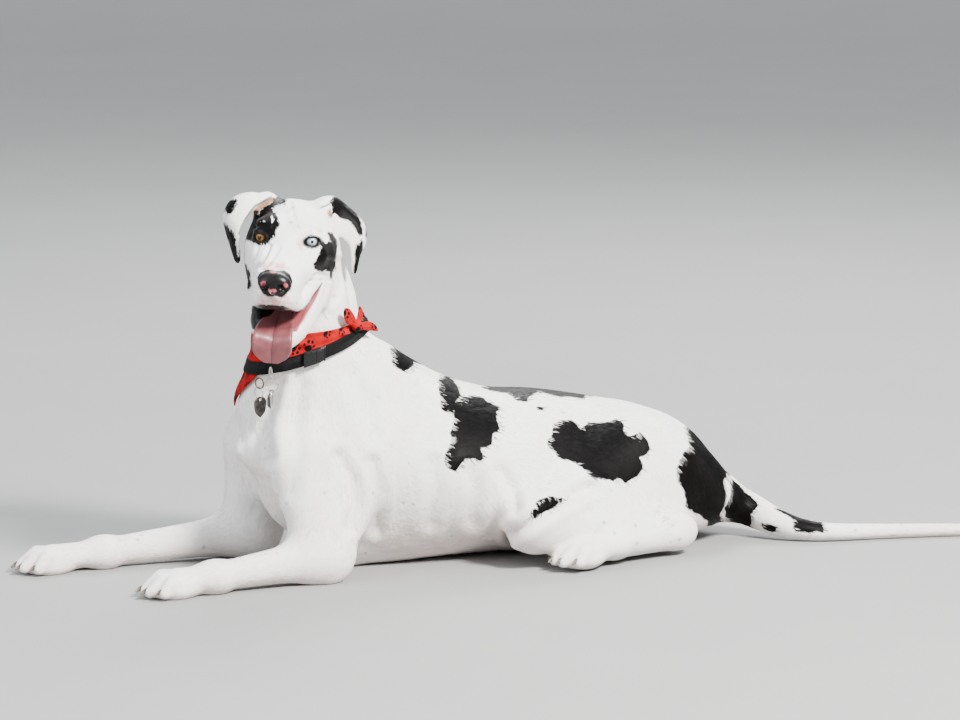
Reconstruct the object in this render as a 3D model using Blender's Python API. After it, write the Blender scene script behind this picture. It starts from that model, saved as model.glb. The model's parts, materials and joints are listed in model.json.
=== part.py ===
"""Life-size still model of a harlequin great dane that lies on its chest with its head turned to its left.

Metres, +Z up. The dog faces -X and its left side is -Y. The origin is on the floor below the elbows.
"""

import math
from functools import partial

import bmesh
import bpy
import numpy as np
import openvdb
from mathutils import Matrix, Vector
from mathutils.bvhtree import BVHTree

# Grid cells and gaps
BODY_CELL = 0.006
HEAD_CELL = 0.0034
FAR = 0.05
GAP = 0.0003


class Field:
    """A block of cubic cells that holds the distance to a surface, below zero inside it."""

    def __init__(self, low, high, cell):
        self.low = np.array(low, np.float32)
        self.cell = cell
        counts = np.ceil((np.array(high) - np.array(low)) / cell).astype(int) + 1
        self.values = np.full(counts, FAR, np.float32)

    def window(self, low, high):
        """The index ranges of the cells between two corners, and the places of those cells."""
        first = np.floor((np.array(low) - self.low) / self.cell).astype(int)
        last = np.ceil((np.array(high) - self.low) / self.cell).astype(int) + 1
        first = np.clip(first, 0, self.values.shape)
        last = np.clip(last, first, self.values.shape)
        where = tuple(slice(a, b) for a, b in zip(first, last))
        axes = [
            self.low[k] + self.cell * np.arange(first[k], last[k], dtype=np.float32)
            for k in range(3)
        ]
        return where, np.stack(np.meshgrid(*axes, indexing="ij"), -1)

    def join(self, shape, blend=0.01):
        """Adds a shape, with a fillet about as wide as blend."""
        distance, low, high = shape
        where, places = self.window(low - blend - self.cell * 2, high + blend + self.cell * 2)
        if places.size:
            self.values[where] = soft_least(self.values[where], distance(places), blend)

    def carve(self, shape, blend=0.004):
        """Takes a shape away, with its rim rounded over about as wide as blend."""
        distance, low, high = shape
        where, places = self.window(low - blend - self.cell * 2, high + blend + self.cell * 2)
        if places.size:
            self.values[where] = -soft_least(-self.values[where], distance(places), blend)

    def mesh(self, name, frame=None):
        """The surface as a new object, moved by frame."""
        grid = openvdb.FloatGrid(FAR)
        grid.copyFromArray(np.ascontiguousarray(self.values))
        points, quads = grid.convertToQuads(0.0)
        points = points * self.cell + self.low
        made = bpy.data.meshes.new(name)
        made.from_pydata(points.tolist(), [], quads.tolist())
        if frame is not None:
            made.transform(frame)
        obj = bpy.data.objects.new(name, made)
        bpy.context.scene.collection.objects.link(obj)
        return obj


def soft_least(a, b, blend):
    """The lesser of two distances, with a fillet where they are alike."""
    near = np.maximum(blend - np.abs(a - b), 0.0) / blend
    return np.minimum(a, b) - near * near * (blend / 4)


def unit(v):
    v = np.array(v, float)
    return v / np.linalg.norm(v)


def ball(centre, radii, turn=None):
    """An ellipsoid. The columns of turn are its own axes."""
    centre, radii = np.array(centre, np.float32), np.array(radii, np.float32)

    def distance(p):
        q = p - centre
        if turn is not None:
            q = q @ np.array(turn, np.float32)
        near = np.linalg.norm(q / radii, axis=-1)
        steep = np.linalg.norm(q / radii**2, axis=-1)
        return near * (near - 1) / np.maximum(steep, 1e-6)

    reach = radii.max()
    return distance, centre - reach, centre + reach


def limb(a, b, ra, rb, side=None, flat=1.0):
    """A cone with round ends from a to b. It is flat times as thick along side as across it."""
    a, b = np.array(a, np.float32), np.array(b, np.float32)
    along = b - a
    long = float(along @ along)

    def distance(p):
        t = np.clip(((p - a) @ along) / long, 0, 1)
        q = p - a - t[..., None] * along
        if side is not None:
            axis = unit(side).astype(np.float32)
            q = q + (q @ axis)[..., None] * axis * (1 / flat - 1)
        return (np.linalg.norm(q, axis=-1) - (ra + (rb - ra) * t)) * min(flat, 1.0)

    reach = max(ra, rb) * max(flat, 1.0)
    return distance, np.minimum(a, b) - reach, np.maximum(a, b) + reach


def chain(points, radii, side=None, flat=1.0):
    """Limbs end to end through points."""
    links = [
        limb(a, b, ra, rb, side, flat)
        for a, b, ra, rb in zip(points, points[1:], radii, radii[1:])
    ]

    def distance(p):
        return np.minimum.reduce([link[0](p) for link in links])

    return distance, np.min([s[1] for s in links], 0), np.max([s[2] for s in links], 0)


def curved(points, radii, count, side=None, flat=1.0):
    """A chain of many limbs on a smooth curve through points."""
    table = np.column_stack([np.arange(len(points)), np.array(points, float), radii])
    at = np.linspace(0, len(points) - 1, count + 1)
    smooth = np.column_stack([flowing(at, table, k) for k in range(1, 5)])
    return chain(smooth[:, :3], smooth[:, 3], side, flat)


def placed(shape, frame):
    """A shape given in its own frame, put where the 4x4 matrix frame says."""
    distance, low, high = shape
    m = np.array(frame, np.float32)
    ends = np.array([low, high])
    corners = np.array([[ends[i, 0], ends[j, 1], ends[k, 2]] for i, j, k in np.ndindex(2, 2, 2)])
    corners = corners @ m[:3, :3].T + m[:3, 3]

    def distance_there(p):
        return distance((p - m[:3, 3]) @ m[:3, :3])

    return distance_there, corners.min(0), corners.max(0)


def flowing(at, stations, column):
    """A smooth curve through one column of stations, read at the places at along their first column."""
    x = np.array([s[0] for s in stations], float)
    y = np.array([s[column] for s in stations], float)
    slope = np.gradient(y, x)
    i = np.clip(np.searchsorted(x, at) - 1, 0, len(x) - 2)
    h = x[i + 1] - x[i]
    t = np.clip((at - x[i]) / h, 0, 1)
    return (
        (2 * t**3 - 3 * t**2 + 1) * y[i]
        + (t**3 - 2 * t**2 + t) * h * slope[i]
        + (3 * t**2 - 2 * t**3) * y[i + 1]
        + (t**3 - t**2) * h * slope[i + 1]
    ).astype(np.float32)


def trunk(stations, top_pinch=0.35, keel_pinch=0.3, square=2.3):
    """A barrel along X. A station holds x, the heights of the back and of the belly, and the half width."""
    first, last = stations[0][0], stations[-1][0]

    def distance(p):
        back, belly, half = (flowing(np.clip(p[..., 0], first, last), stations, k) for k in (1, 2, 3))
        middle, tall = (back + belly) / 2, (back - belly) / 2
        least = np.minimum(half, tall)
        up = (p[..., 2] - middle) / tall
        pinch = np.where(up > 0, top_pinch, keel_pinch) * np.minimum(up * up, 1)
        out = np.abs(p[..., 1]) / (half * (1 - pinch))
        near = (out**square + np.abs(up) ** square) ** (1 / square)
        past = np.maximum(np.maximum(first - p[..., 0], p[..., 0] - last), 0)
        return np.hypot(np.maximum(near - 1, 0) * least, past) + np.minimum(near - 1, 0) * least

    low = np.array([first, -max(s[3] for s in stations), min(s[2] for s in stations)])
    high = np.array([last, max(s[3] for s in stations), max(s[1] for s in stations)])
    return distance, low, high


# Trunk, from the breast to the rump: x, back, belly, half width
TRUNK = (
    (-0.118, 0.240, 0.150, 0.040),
    (-0.098, 0.285, 0.100, 0.068),
    (-0.055, 0.340, 0.050, 0.092),
    (0.000, 0.366, -0.004, 0.112),
    (0.060, 0.361, -0.004, 0.126),
    (0.115, 0.337, -0.003, 0.136),
    (0.190, 0.294, 0.001, 0.142),
    (0.265, 0.268, 0.002, 0.142),
    (0.360, 0.257, 0.006, 0.132),
    (0.460, 0.238, 0.018, 0.114),
    (0.545, 0.217, 0.026, 0.104),
    (0.600, 0.195, 0.026, 0.096),
    (0.640, 0.163, 0.020, 0.084),
    (0.680, 0.100, 0.026, 0.050),
)


def add_trunk(field):
    field.join(trunk(TRUNK), 0.02)
    # The top of the breast
    field.join(ball((-0.080, 0.012, 0.262), (0.050, 0.060, 0.045)), 0.03)
    for side in (-1, 1):
        # The shoulder blade with its muscle, the point of the shoulder, the hip and the seat bone
        top, point = (0.060, side * 0.050, 0.312), (-0.068, side * 0.078, 0.200)
        field.join(limb(top, point, 0.034, 0.044, (0, 1, 0), 0.8), 0.05)
        field.join(ball((0.500, side * 0.060, 0.172), (0.060, 0.038, 0.036)), 0.04)
        field.join(ball((0.645, side * 0.048, 0.072), (0.038, 0.036, 0.040)), 0.04)


def add_foreleg(field, side, elbow, wrist, toes):
    """Upper arm, forearm along the floor, wrist and paw."""
    elbow, wrist, toes = (np.array(p, float) for p in (elbow, wrist, toes))
    shoulder = np.array([-0.076, side * 0.094, 0.185])
    field.join(limb(shoulder, elbow + (0.0, 0, 0.012), 0.052, 0.041, (0, 1, 0), 0.85), 0.04)
    # Triceps behind the upper arm, and the point of the elbow
    triceps = limb((0.035, side * 0.112, 0.185), elbow + (0.022, 0, 0.02), 0.044, 0.026, (0, 1, 0), 0.6)
    field.join(triceps, 0.04)
    field.join(ball(elbow + (0.022, 0, 0.002), (0.024, 0.024, 0.032)), 0.02)
    field.join(curved([elbow, elbow * 0.65 + wrist * 0.35, wrist], [0.039, 0.030, 0.0225], 10), 0.03)
    field.join(ball(wrist, (0.028, 0.028, 0.0235)), 0.015)
    add_paw(field, wrist, toes, FORE_PAW_HALF)


# The four toes: how far out of the paw's middle, and how far back of the longest
TOE_SPREAD = ((-0.75, 0.016), (-0.25, 0.0), (0.25, 0.0), (0.75, 0.016))
KNUCKLES_BACK = 0.060


def paw_axes(wrist, toes):
    forward = unit(np.array(toes) - wrist)
    return forward, unit(np.cross((0, 0, 1), forward))


def toe_lines(wrist, toes, half):
    """Root, knuckle and tip of each toe."""
    forward, across = paw_axes(wrist, toes)
    knuckles = toes - forward * KNUCKLES_BACK
    for out, back in TOE_SPREAD:
        root = knuckles + across * out * half * 0.62
        tip = toes + across * out * half - forward * (back + 0.010) - (0, 0, 0.009)
        yield root, (root + tip) / 2 + np.array((0, 0, 0.010)), tip


def add_paw(field, wrist, toes, half):
    """Pastern, pads and four arched toes between the wrist and the toes' tips."""
    forward, across = paw_axes(wrist, toes)
    knuckles = toes - forward * KNUCKLES_BACK
    field.join(limb(wrist, knuckles, 0.0205, 0.0215, across, 1.35), 0.02)
    field.join(ball(knuckles + forward * 0.012 - (0, 0, 0.010), (0.038, 0.038, 0.018)), 0.02)
    for line in toe_lines(wrist, toes, half):
        field.join(curved(line, [0.0125, 0.0130, 0.0105], 6), 0.005)


def hind_foot(side):
    """The hock, the root of the toes and the toes' tips."""
    hock = np.array([0.530, side * 0.150, 0.038])
    toes = np.array([0.300, side * 0.205, 0.026])
    return hock, hock + (toes - hock) * 0.50, toes


def add_hindleg(field, side):
    """A folded hind leg: the thigh over the shank, and the foot forward along the floor."""
    hip = np.array([0.510, side * 0.066, 0.122])
    knee = np.array([0.290, side * 0.160, 0.073])
    hock, foot, toes = hind_foot(side)
    field.join(limb(hip, knee, 0.080, 0.046, (0, 1, 0.2), 0.74), 0.04)
    buttock = limb((0.590, side * 0.070, 0.080), (0.440, side * 0.130, 0.055), 0.062, 0.054, (0, 1, 0), 0.74)
    field.join(buttock, 0.04)
    field.join(limb(knee, hock, 0.042, 0.026), 0.03)
    field.join(ball(hock + (0.016, 0, 0), (0.028, 0.020, 0.026)), 0.02)
    field.join(limb(hock, foot, 0.023, 0.022), 0.02)
    add_paw(field, foot, toes, HIND_PAW_HALF)


# The head's own frame: X to the nose, Y to its left, Z up, from the middle of the skull
HEAD_PLACE = (-0.0745, -0.0485, 0.528)
HEAD_TURN, HEAD_NOD, HEAD_TILT = 61.0, 3.0, 4.0


def head_frame():
    turn = Matrix.Rotation(math.radians(180 + HEAD_TURN), 4, "Z")
    nod = Matrix.Rotation(math.radians(HEAD_NOD), 4, "Y")
    tilt = Matrix.Rotation(math.radians(-HEAD_TILT), 4, "X")
    return Matrix.Translation(HEAD_PLACE) @ turn @ nod @ tilt


def from_head(points):
    """Points of the head's frame, in the body's."""
    frame = np.array(head_frame())
    return np.array(points, float) @ frame[:3, :3].T + frame[:3, 3]


# Where the muscles and the loose skin that run down the neck from the jaw end, on its right and its left
NECK_SIDES = (
    (-1, (-0.036, 0.002, 0.355), (-0.048, -0.004, 0.345)),
    (1, (-0.014, -0.022, 0.355), (-0.022, -0.034, 0.350)),
)


def add_neck(field):
    nape = from_head((-0.048, 0.0, -0.028))
    throat = from_head((0.000, 0.0, -0.055))
    line = [(-0.020, 0, 0.260), (-0.026, -0.008, 0.340), (-0.023, -0.003, 0.415), nape]
    field.join(curved(line, [0.100, 0.077, 0.071, 0.064], 12), 0.04)
    field.join(limb((-0.038, -0.010, 0.300), throat, 0.068, 0.042), 0.04)
    for side, muscle, skin in NECK_SIDES:
        field.join(limb(muscle, from_head((-0.032, side * 0.032, -0.048)), 0.054, 0.029), 0.02)
        field.join(limb(skin, from_head((0.016, side * 0.030, -0.084)), 0.048, 0.024), 0.02)


# Eyes and mouth, in the head's frame
EYE_RADIUS = 0.0125
EYE_PLACE = (0.0505, 0.0365, 0.0065)
EYE_OUTWARD = 18.0
# The slot of the mouth's corner, back to front
MOUTH_CORNER = ((0.060, 0.057, -0.062), (0.090, 0.050, -0.083), (0.120, 0.041, -0.102))
CORNER_RADII = (0.0015, 0.0050, 0.0065)
JAW_OPEN = 18.0
JAW_HINGE = (-0.010, -0.045)

# Upper muzzle: x, bridge, lip edge, half width
MUZZLE = (
    (0.020, 0.014, -0.056, 0.054),
    (0.055, 0.007, -0.062, 0.046),
    (0.090, -0.002, -0.070, 0.0395),
    (0.130, -0.009, -0.076, 0.0370),
    (0.165, -0.014, -0.079, 0.0345),
    (0.183, -0.018, -0.077, 0.0310),
    (0.194, -0.028, -0.070, 0.0240),
)

# The hanging edge of the upper lip on one side, and the edge of the stretched lower lip
FLEW = (
    (0.180, 0.014, -0.064),
    (0.150, 0.0240, -0.072),
    (0.118, 0.0310, -0.080),
    (0.088, 0.0380, -0.068),
    (0.062, 0.0460, -0.054),
)
FLEW_RADII = (0.0130, 0.0130, 0.0120, 0.0100, 0.0080)
LOWER_LIP = (
    (0.050, 0.0520, -0.068),
    (0.086, 0.0480, -0.095),
    (0.116, 0.0380, -0.116),
    (0.138, 0.0240, -0.128),
)
LOWER_LIP_RADII = (0.0110, 0.0100, 0.0085, 0.0080)
# The skin between the lower lip and the jaw, and how wide lips and cheeks are on the head's right and left
JAW_SKIN = (
    (0.030, 0.0450, -0.080),
    (0.074, 0.0400, -0.104),
    (0.108, 0.0300, -0.124),
    (0.132, 0.0180, -0.132),
)
JAW_SKIN_RADII = (0.0220, 0.0170, 0.0130, 0.0100)
LIP_SPREAD = {-1: 0.72, 1: 1.0}
CHEEK_SPREAD = {-1: 0.90, 1: 1.0}


def jaw_turned(x, z):
    """A place on the closed lower jaw, let down about the hinge."""
    angle = math.radians(JAW_OPEN)
    dx, dz = x - JAW_HINGE[0], z - JAW_HINGE[1]
    return (
        JAW_HINGE[0] + dx * math.cos(angle) + dz * math.sin(angle),
        JAW_HINGE[1] + dz * math.cos(angle) - dx * math.sin(angle),
    )


def in_head(action, shape, blend):
    """Joins or carves a shape given in the head's frame."""
    action(placed(shape, head_frame()), blend)


def add_skull(field):
    """The bony head: brain case, forehead, brows, cheeks and cheekbones."""
    join = partial(in_head, field.join)
    join(ball((-0.030, 0, 0.002), (0.070, 0.058, 0.047)), 0.03)
    join(ball((-0.088, 0, 0.000), (0.022, 0.024, 0.026)), 0.03)
    join(ball((0.020, 0, 0.006), (0.046, 0.049, 0.040)), 0.02)
    join(ball((-0.015, 0, -0.045), (0.065, 0.046, 0.045)), 0.03)
    for side in (-1, 1):
        join(ball((0.044, side * 0.029, 0.023), (0.020, 0.020, 0.013)), 0.018)
        wide = CHEEK_SPREAD[side]
        join(ball((-0.014, side * 0.041 * wide, -0.034), (0.054, 0.028, 0.042)), 0.030)
        front, back = (0.046, side * 0.050 * wide, -0.013), (-0.022, side * 0.0585 * wide, -0.012)
        join(limb(front, back, 0.012, 0.010), 0.016)
        # Ear root
        join(ball((-0.046, side * 0.046, 0.036), (0.034, 0.018, 0.022)), 0.02)


def add_muzzle(field):
    join = partial(in_head, field.join)
    join(trunk(MUZZLE, top_pinch=0.22, keel_pinch=0.04, square=3.0), 0.02)
    for side in (-1, 1):
        # Flews
        line = [(x, side * y * (1 + LIP_SPREAD[side]) / 2, z) for x, y, z in FLEW]
        join(curved(line, FLEW_RADII, 8), 0.010)
        # Below the eye
        join(ball((0.062, side * 0.035, -0.028), (0.036, 0.015, 0.020)), 0.02)
    # The stop, and the nose pad
    join(ball((0.050, 0, 0.003), (0.028, 0.024, 0.016)), 0.025)
    join(ball((0.193, 0, -0.0385), (0.0145, 0.0280, 0.0215)), 0.006)


def add_lower_jaw(field):
    join = partial(in_head, field.join)
    chin = jaw_turned(0.156, -0.090)
    front = jaw_turned(0.135, -0.088)
    back = jaw_turned(0.030, -0.078)
    hinge = jaw_turned(-0.010, -0.070)
    for side in (-1, 1):
        line = [
            (hinge[0], side * 0.036, hinge[1]),
            (back[0], side * 0.031, back[1]),
            (front[0], side * 0.018, front[1]),
            (chin[0], 0.0, chin[1]),
        ]
        join(curved(line, [0.026, 0.021, 0.0140, 0.0140], 9), 0.012)
        skin = [(x, side * y * LIP_SPREAD[side], z) for x, y, z in JAW_SKIN]
        join(curved(skin, JAW_SKIN_RADII, 8), 0.020)
        lip = [(x, side * y * LIP_SPREAD[side], z) for x, y, z in LOWER_LIP]
        join(curved(lip, LOWER_LIP_RADII, 8, (0, 1, 0), 0.5), 0.012)
    floor = [(back[0], 0, back[1] - 0.004), (chin[0] - 0.015, 0, chin[1] - 0.003)]
    join(limb(*floor, 0.020, 0.012, (0, 1, 0), 1.5), 0.012)


def carve_face(field):
    carve = partial(in_head, field.carve)
    # Mouth: a wedge from between the lips back to the corners
    front_top, front_low = (0.190, -0.090), jaw_turned(0.170, -0.080)
    middle = ((front_top[0] + front_low[0]) / 2, (front_top[1] + front_low[1]) / 2)
    line = ((0.060, 0, -0.074), (0.110, 0, -0.092), (middle[0] + 0.01, 0, middle[1] + 0.002))
    carve(chain(line, [0.006, 0.012, 0.016], (0, 1, 0), 2.0), 0.004)
    for side in (-1, 1):
        corner = [(x, side * y * LIP_SPREAD[side], z) for x, y, z in MOUTH_CORNER]
        carve(curved(corner, CORNER_RADII, 6, (0, 1, 0), 1.3), 0.003)
        # Nostril and its slit
        carve(ball((0.205, side * 0.0125, -0.040), (0.007, 0.0056, 0.0056)), 0.003)
        carve(limb((0.203, side * 0.0155, -0.042), (0.193, side * 0.0275, -0.048), 0.0032, 0.0018), 0.003)
    carve(limb((0.2095, 0, -0.045), (0.1985, 0, -0.078), 0.0020, 0.0018), 0.003)


def eye_frame(side):
    """An eye's own frame: X where it looks, Y to the head's left, Z up."""
    x, y, z = EYE_PLACE
    turn = Matrix.Rotation(math.radians(side * EYE_OUTWARD), 4, "Z")
    return head_frame() @ Matrix.Translation((x, side * y, z)) @ turn


def add_lids(field):
    for side in (-1, 1):
        frame = eye_frame(side)
        field.join(placed(ball((0.0, 0, 0), (EYE_RADIUS + 0.0028,) * 3), frame), 0.010)
        opening = ball((0.0135, 0, 0.0005), (0.0080, 0.0125, 0.0058))
        field.carve(placed(opening, frame), 0.002)
        field.carve(placed(ball((0, 0, 0), (EYE_RADIUS + 0.0002,) * 3), frame), 0.0005)


# Ear flaps in the head's frame, root to tip: front edge, middle and rear edge of each row
EAR_RIGHT = (
    ((-0.010, -0.042, 0.028), (-0.045, -0.036, 0.044), (-0.080, -0.044, 0.022)),
    ((-0.002, -0.056, 0.036), (-0.035, -0.064, 0.054), (-0.078, -0.074, 0.038)),
    ((0.006, -0.068, 0.026), (-0.022, -0.088, 0.046), (-0.065, -0.100, 0.037)),
    ((0.012, -0.076, 0.010), (-0.010, -0.099, 0.024), (-0.045, -0.109, 0.014)),
    ((0.014, -0.077, -0.008), (-0.002, -0.092, -0.002), (-0.028, -0.101, -0.010)),
    ((0.012, -0.076, -0.028), (0.002, -0.084, -0.026), (-0.014, -0.090, -0.032)),
    ((0.006, -0.0755, -0.046), (0.002, -0.079, -0.049), (-0.003, -0.082, -0.047)),
)
EAR_LEFT = (
    ((-0.010, 0.042, 0.022), (-0.045, 0.036, 0.046), (-0.080, 0.044, 0.020)),
    ((-0.015, 0.056, 0.022), (-0.045, 0.056, 0.056), (-0.084, 0.062, 0.034)),
    ((-0.020, 0.067, 0.006), (-0.048, 0.074, 0.042), (-0.086, 0.079, 0.030)),
    ((-0.024, 0.080, -0.003), (-0.043, 0.096, 0.024), (-0.076, 0.102, 0.014)),
    ((-0.022, 0.089, -0.012), (-0.034, 0.105, 0.001), (-0.058, 0.110, -0.008)),
    ((-0.022, 0.093, -0.031), (-0.027, 0.1005, -0.028), (-0.038, 0.103, -0.029)),
    ((-0.024, 0.097, -0.052), (-0.026, 0.0995, -0.055), (-0.029, 0.1005, -0.053)),
)
EAR_THICK = 0.0062


def smooth_grid(rows, across, along):
    """A grid of places drawn smoothly through a coarse one, along by across."""
    coarse = np.array(rows, float)

    def resample(grid, count):
        at = np.linspace(0, len(grid) - 1, count)
        flat = grid.reshape(len(grid), -1)
        table = np.column_stack([np.arange(len(grid)), flat])
        smooth = np.column_stack([flowing(at, table, k) for k in range(1, table.shape[1])])
        return smooth.reshape(count, *grid.shape[1:])

    grid = resample(coarse, along)
    return resample(grid.transpose(1, 0, 2), across).transpose(1, 0, 2)


def sheet_faces(rows, columns):
    """Quads of a closed flat shell whose two sides are grids of rows by columns."""
    faces = []
    other = rows * columns
    for i in range(rows - 1):
        for j in range(columns - 1):
            a, d = i * columns + j, (i + 1) * columns + j
            b, c = a + 1, d + 1
            faces.append((a, b, c, d))
            faces.append((other + d, other + c, other + b, other + a))
    rim = [(i, 0) for i in range(rows)] + [(rows - 1, j) for j in range(1, columns)]
    rim += [(i, columns - 1) for i in range(rows - 2, -1, -1)] + [(0, j) for j in range(columns - 2, 0, -1)]
    ring = [i * columns + j for i, j in rim]
    for a, b in zip(ring, ring[1:] + ring[:1]):
        faces.append((b, a, other + a, other + b))
    return faces


def thick_sheet(name, grid, thick, edge=0.35):
    """A closed shell about a grid of places, thinner at its rim."""
    rows, columns = grid.shape[:2]
    along, across = np.gradient(grid, axis=0), np.gradient(grid, axis=1)
    normal = np.cross(along, across)
    normal /= np.maximum(np.linalg.norm(normal, axis=-1, keepdims=True), 1e-9)
    i, j = np.meshgrid(np.arange(rows), np.arange(columns), indexing="ij")
    to_rim = np.minimum(np.minimum(j, columns - 1 - j), rows - 1 - i)
    half = normal * np.where(to_rim == 0, edge, 1.0)[..., None] * thick / 2
    places = np.concatenate([(grid - half).reshape(-1, 3), (grid + half).reshape(-1, 3)])
    return solid(name, places, sheet_faces(rows, columns))


def solid(name, places, faces):
    """A new object with its faces turned out."""
    made = bpy.data.meshes.new(name)
    made.from_pydata(np.asarray(places).tolist(), [], [tuple(int(k) for k in f) for f in faces])
    bm = bmesh.new()
    bm.from_mesh(made)
    bmesh.ops.recalc_face_normals(bm, faces=bm.faces)
    bm.to_mesh(made)
    bm.free()
    obj = bpy.data.objects.new(name, made)
    bpy.context.scene.collection.objects.link(obj)
    return obj


def mesh_shape(obj, cell):
    """A closed mesh as a shape for a Field, read from a narrow band of distances. Removes the object."""
    obj.data.calc_loop_triangles()
    points = np.array([v.co for v in obj.data.vertices], np.float32)
    triangles = np.array([t.vertices for t in obj.data.loop_triangles], np.uint32)
    bpy.data.objects.remove(obj)
    band = 6
    low = points.min(0) - band * cell
    counts = np.ceil((points.max(0) + band * cell - low) / cell).astype(int) + 1
    unit_cells = openvdb.createLinearTransform(1.0)
    grid = openvdb.FloatGrid.createLevelSetFromPolygons(
        (points - low) / cell, triangles=triangles, transform=unit_cells, halfWidth=float(band)
    )
    values = np.zeros(counts, np.float32)
    grid.copyToArray(values)
    values *= cell

    def distance(p):
        at = np.clip((p - low) / cell, 0, counts - 1.001)
        base = at.astype(int)
        t = at - base
        total = 0
        for corner in np.ndindex(2, 2, 2):
            weight = np.prod(np.where(corner, t, 1 - t), axis=-1)
            total = total + weight * values[tuple((base + corner)[..., k] for k in range(3))]
        return total

    return distance, low, low + counts * cell


def add_ears(field, cell):
    for rows in (EAR_RIGHT, EAR_LEFT):
        places = smooth_grid(rows, 13, 25)
        flap = thick_sheet("flap", from_head(places.reshape(-1, 3)).reshape(places.shape), EAR_THICK)
        field.join(mesh_shape(flap, cell), 0.006)


TAIL = (
    (0.645, 0.000, 0.078),
    (0.710, -0.046, 0.046),
    (0.741, -0.096, 0.028),
    (0.772, -0.126, 0.0190),
    (0.815, -0.146, 0.0150),
    (0.895, -0.162, 0.0128),
    (1.019, -0.192, 0.0108),
    (1.120, -0.236, 0.0086),
    (1.195, -0.300, 0.0063),
)
TAIL_RADII = (0.038, 0.0290, 0.0230, 0.0185, 0.0155, 0.0130, 0.0110, 0.0088, 0.0065)


def add_tail(field):
    field.join(curved(TAIL, TAIL_RADII, 28), 0.03)


# Elbow, wrist and toes of each foreleg, and the half widths of the paws
LEFT_FORELEG = ((-0.058, -0.124, 0.038), (-0.236, -0.134, 0.0240), (-0.356, -0.134, 0.020))
RIGHT_FORELEG = ((-0.080, 0.120, 0.038), (-0.322, 0.122, 0.0240), (-0.466, 0.124, 0.020))
FORE_PAW_HALF, HIND_PAW_HALF = 0.042, 0.040


def add_body(field):
    add_trunk(field)
    add_neck(field)
    add_foreleg(field, -1, *LEFT_FORELEG)
    add_foreleg(field, 1, *RIGHT_FORELEG)
    for side in (-1, 1):
        add_hindleg(field, side)
    add_tail(field)


def body_field(cell):
    field = Field((-0.54, -0.50, -0.03), (1.27, 0.26, 0.50), cell)
    add_body(field)
    return field


def head_field(cell):
    field = Field((-0.27, -0.29, 0.30), (0.13, 0.12, 0.64), cell)
    add_neck(field)
    add_skull(field)
    add_muzzle(field)
    add_lower_jaw(field)
    carve_face(field)
    add_lids(field)
    add_ears(field, cell)
    return field


def cut_plane(obj, place, normal):
    """Keeps what lies on the normal's side of a plane, and closes the cut."""
    bm = bmesh.new()
    bm.from_mesh(obj.data)
    made = bmesh.ops.bisect_plane(
        bm, geom=bm.verts[:] + bm.edges[:] + bm.faces[:], plane_co=place, plane_no=normal, clear_inner=True
    )
    edges = [e for e in made["geom_cut"] if isinstance(e, bmesh.types.BMEdge)]
    bmesh.ops.holes_fill(bm, edges=edges, sides=0)
    bm.to_mesh(obj.data)
    bm.free()


# The plane between the head and the neck, and the boxes that part the body:
# name, middle, size, turn about Z and turn about Y in degrees
NECK_CUT_PLACE, NECK_CUT_NORMAL = (-0.030, 0.0, 0.440), (-0.22, -0.30, 1.0)
BODY_BOXES = (
    ("forepaw_left", (-0.345, -0.134, 0.05), (0.170, 0.16, 0.20), 0.0, 0.0),
    ("forepaw_right", (-0.455, 0.123, 0.05), (0.190, 0.16, 0.20), 0.0, 0.0),
    ("foreleg_left", (-0.245, -0.160, 0.03), (0.240, 0.17, 0.12), 0.0, 0.0),
    ("foreleg_right", (-0.275, 0.140, 0.03), (0.270, 0.15, 0.12), 0.0, 0.0),
    ("tail_tip", (1.180, -0.200, 0.02), (0.20, 0.30, 0.16), 0.0, 0.0),
    ("tail_middle", (0.980, -0.200, 0.02), (0.30, 0.50, 0.16), 0.0, 0.0),
    ("tail_root", (0.790, -0.050, 0.02), (0.200, 0.30, 0.30), 0.0, 0.0),
    ("neck", (-0.030, 0.000, 0.470), (0.40, 0.40, 0.30), 0.0, 16.0),
    ("hindleg_left", (0.420, -0.200, 0.09), (0.440, 0.220, 0.30), 0.0, 0.0),
    ("hindleg_right", (0.420, 0.200, 0.09), (0.440, 0.220, 0.30), 0.0, 0.0),
)
# Name, middle and tilt about X of each ear's box, in the head's frame
EAR_BOXES = (("ear_right", (-0.030, -0.1255, 0.022), 0.0), ("ear_left", (-0.030, 0.1257, 0.022), 9.9))
EAR_BOX_SIZE = (0.160, 0.100, 0.156)
BODY_TRIANGLES, HEAD_TRIANGLES = 4900, 3500
FLOOR_SNAP = 0.0015


def box(size, frame, grow=0.0):
    """A closed box to cut with, in its own frame."""
    signs = np.array(list(np.ndindex(2, 2, 2))) - 0.5
    corners = signs * (np.array(size) + 2 * grow)
    faces = [(0, 1, 3, 2), (4, 6, 7, 5), (0, 4, 5, 1), (2, 3, 7, 6), (0, 2, 6, 4), (1, 5, 7, 3)]
    made = solid("box", corners, faces)
    made.data.transform(frame)
    return made


def evaluated(obj):
    """Bakes the modifiers of an object into its mesh."""
    bpy.context.view_layer.update()
    graph = bpy.context.evaluated_depsgraph_get()
    baked = bpy.data.meshes.new_from_object(obj.evaluated_get(graph))
    obj.modifiers.clear()
    obj.data = baked


def combine(obj, other, operation):
    """Bakes a Boolean with another object into obj, and removes that object."""
    other.hide_render = True
    other.display_type = "WIRE"
    modifier = obj.modifiers.new("cut", "BOOLEAN")
    modifier.object, modifier.operation, modifier.solver = other, operation, "EXACT"
    evaluated(obj)
    bpy.data.objects.remove(other)


def thinned(obj, triangles):
    """Bakes a Decimate down to about that many triangles."""
    modifier = obj.modifiers.new("thin", "DECIMATE")
    modifier.ratio = triangles / sum(len(p.vertices) - 2 for p in obj.data.polygons)
    evaluated(obj)


def copy_of(obj, name):
    twin = bpy.data.objects.new(name, obj.data.copy())
    bpy.context.scene.collection.objects.link(twin)
    return twin


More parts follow.
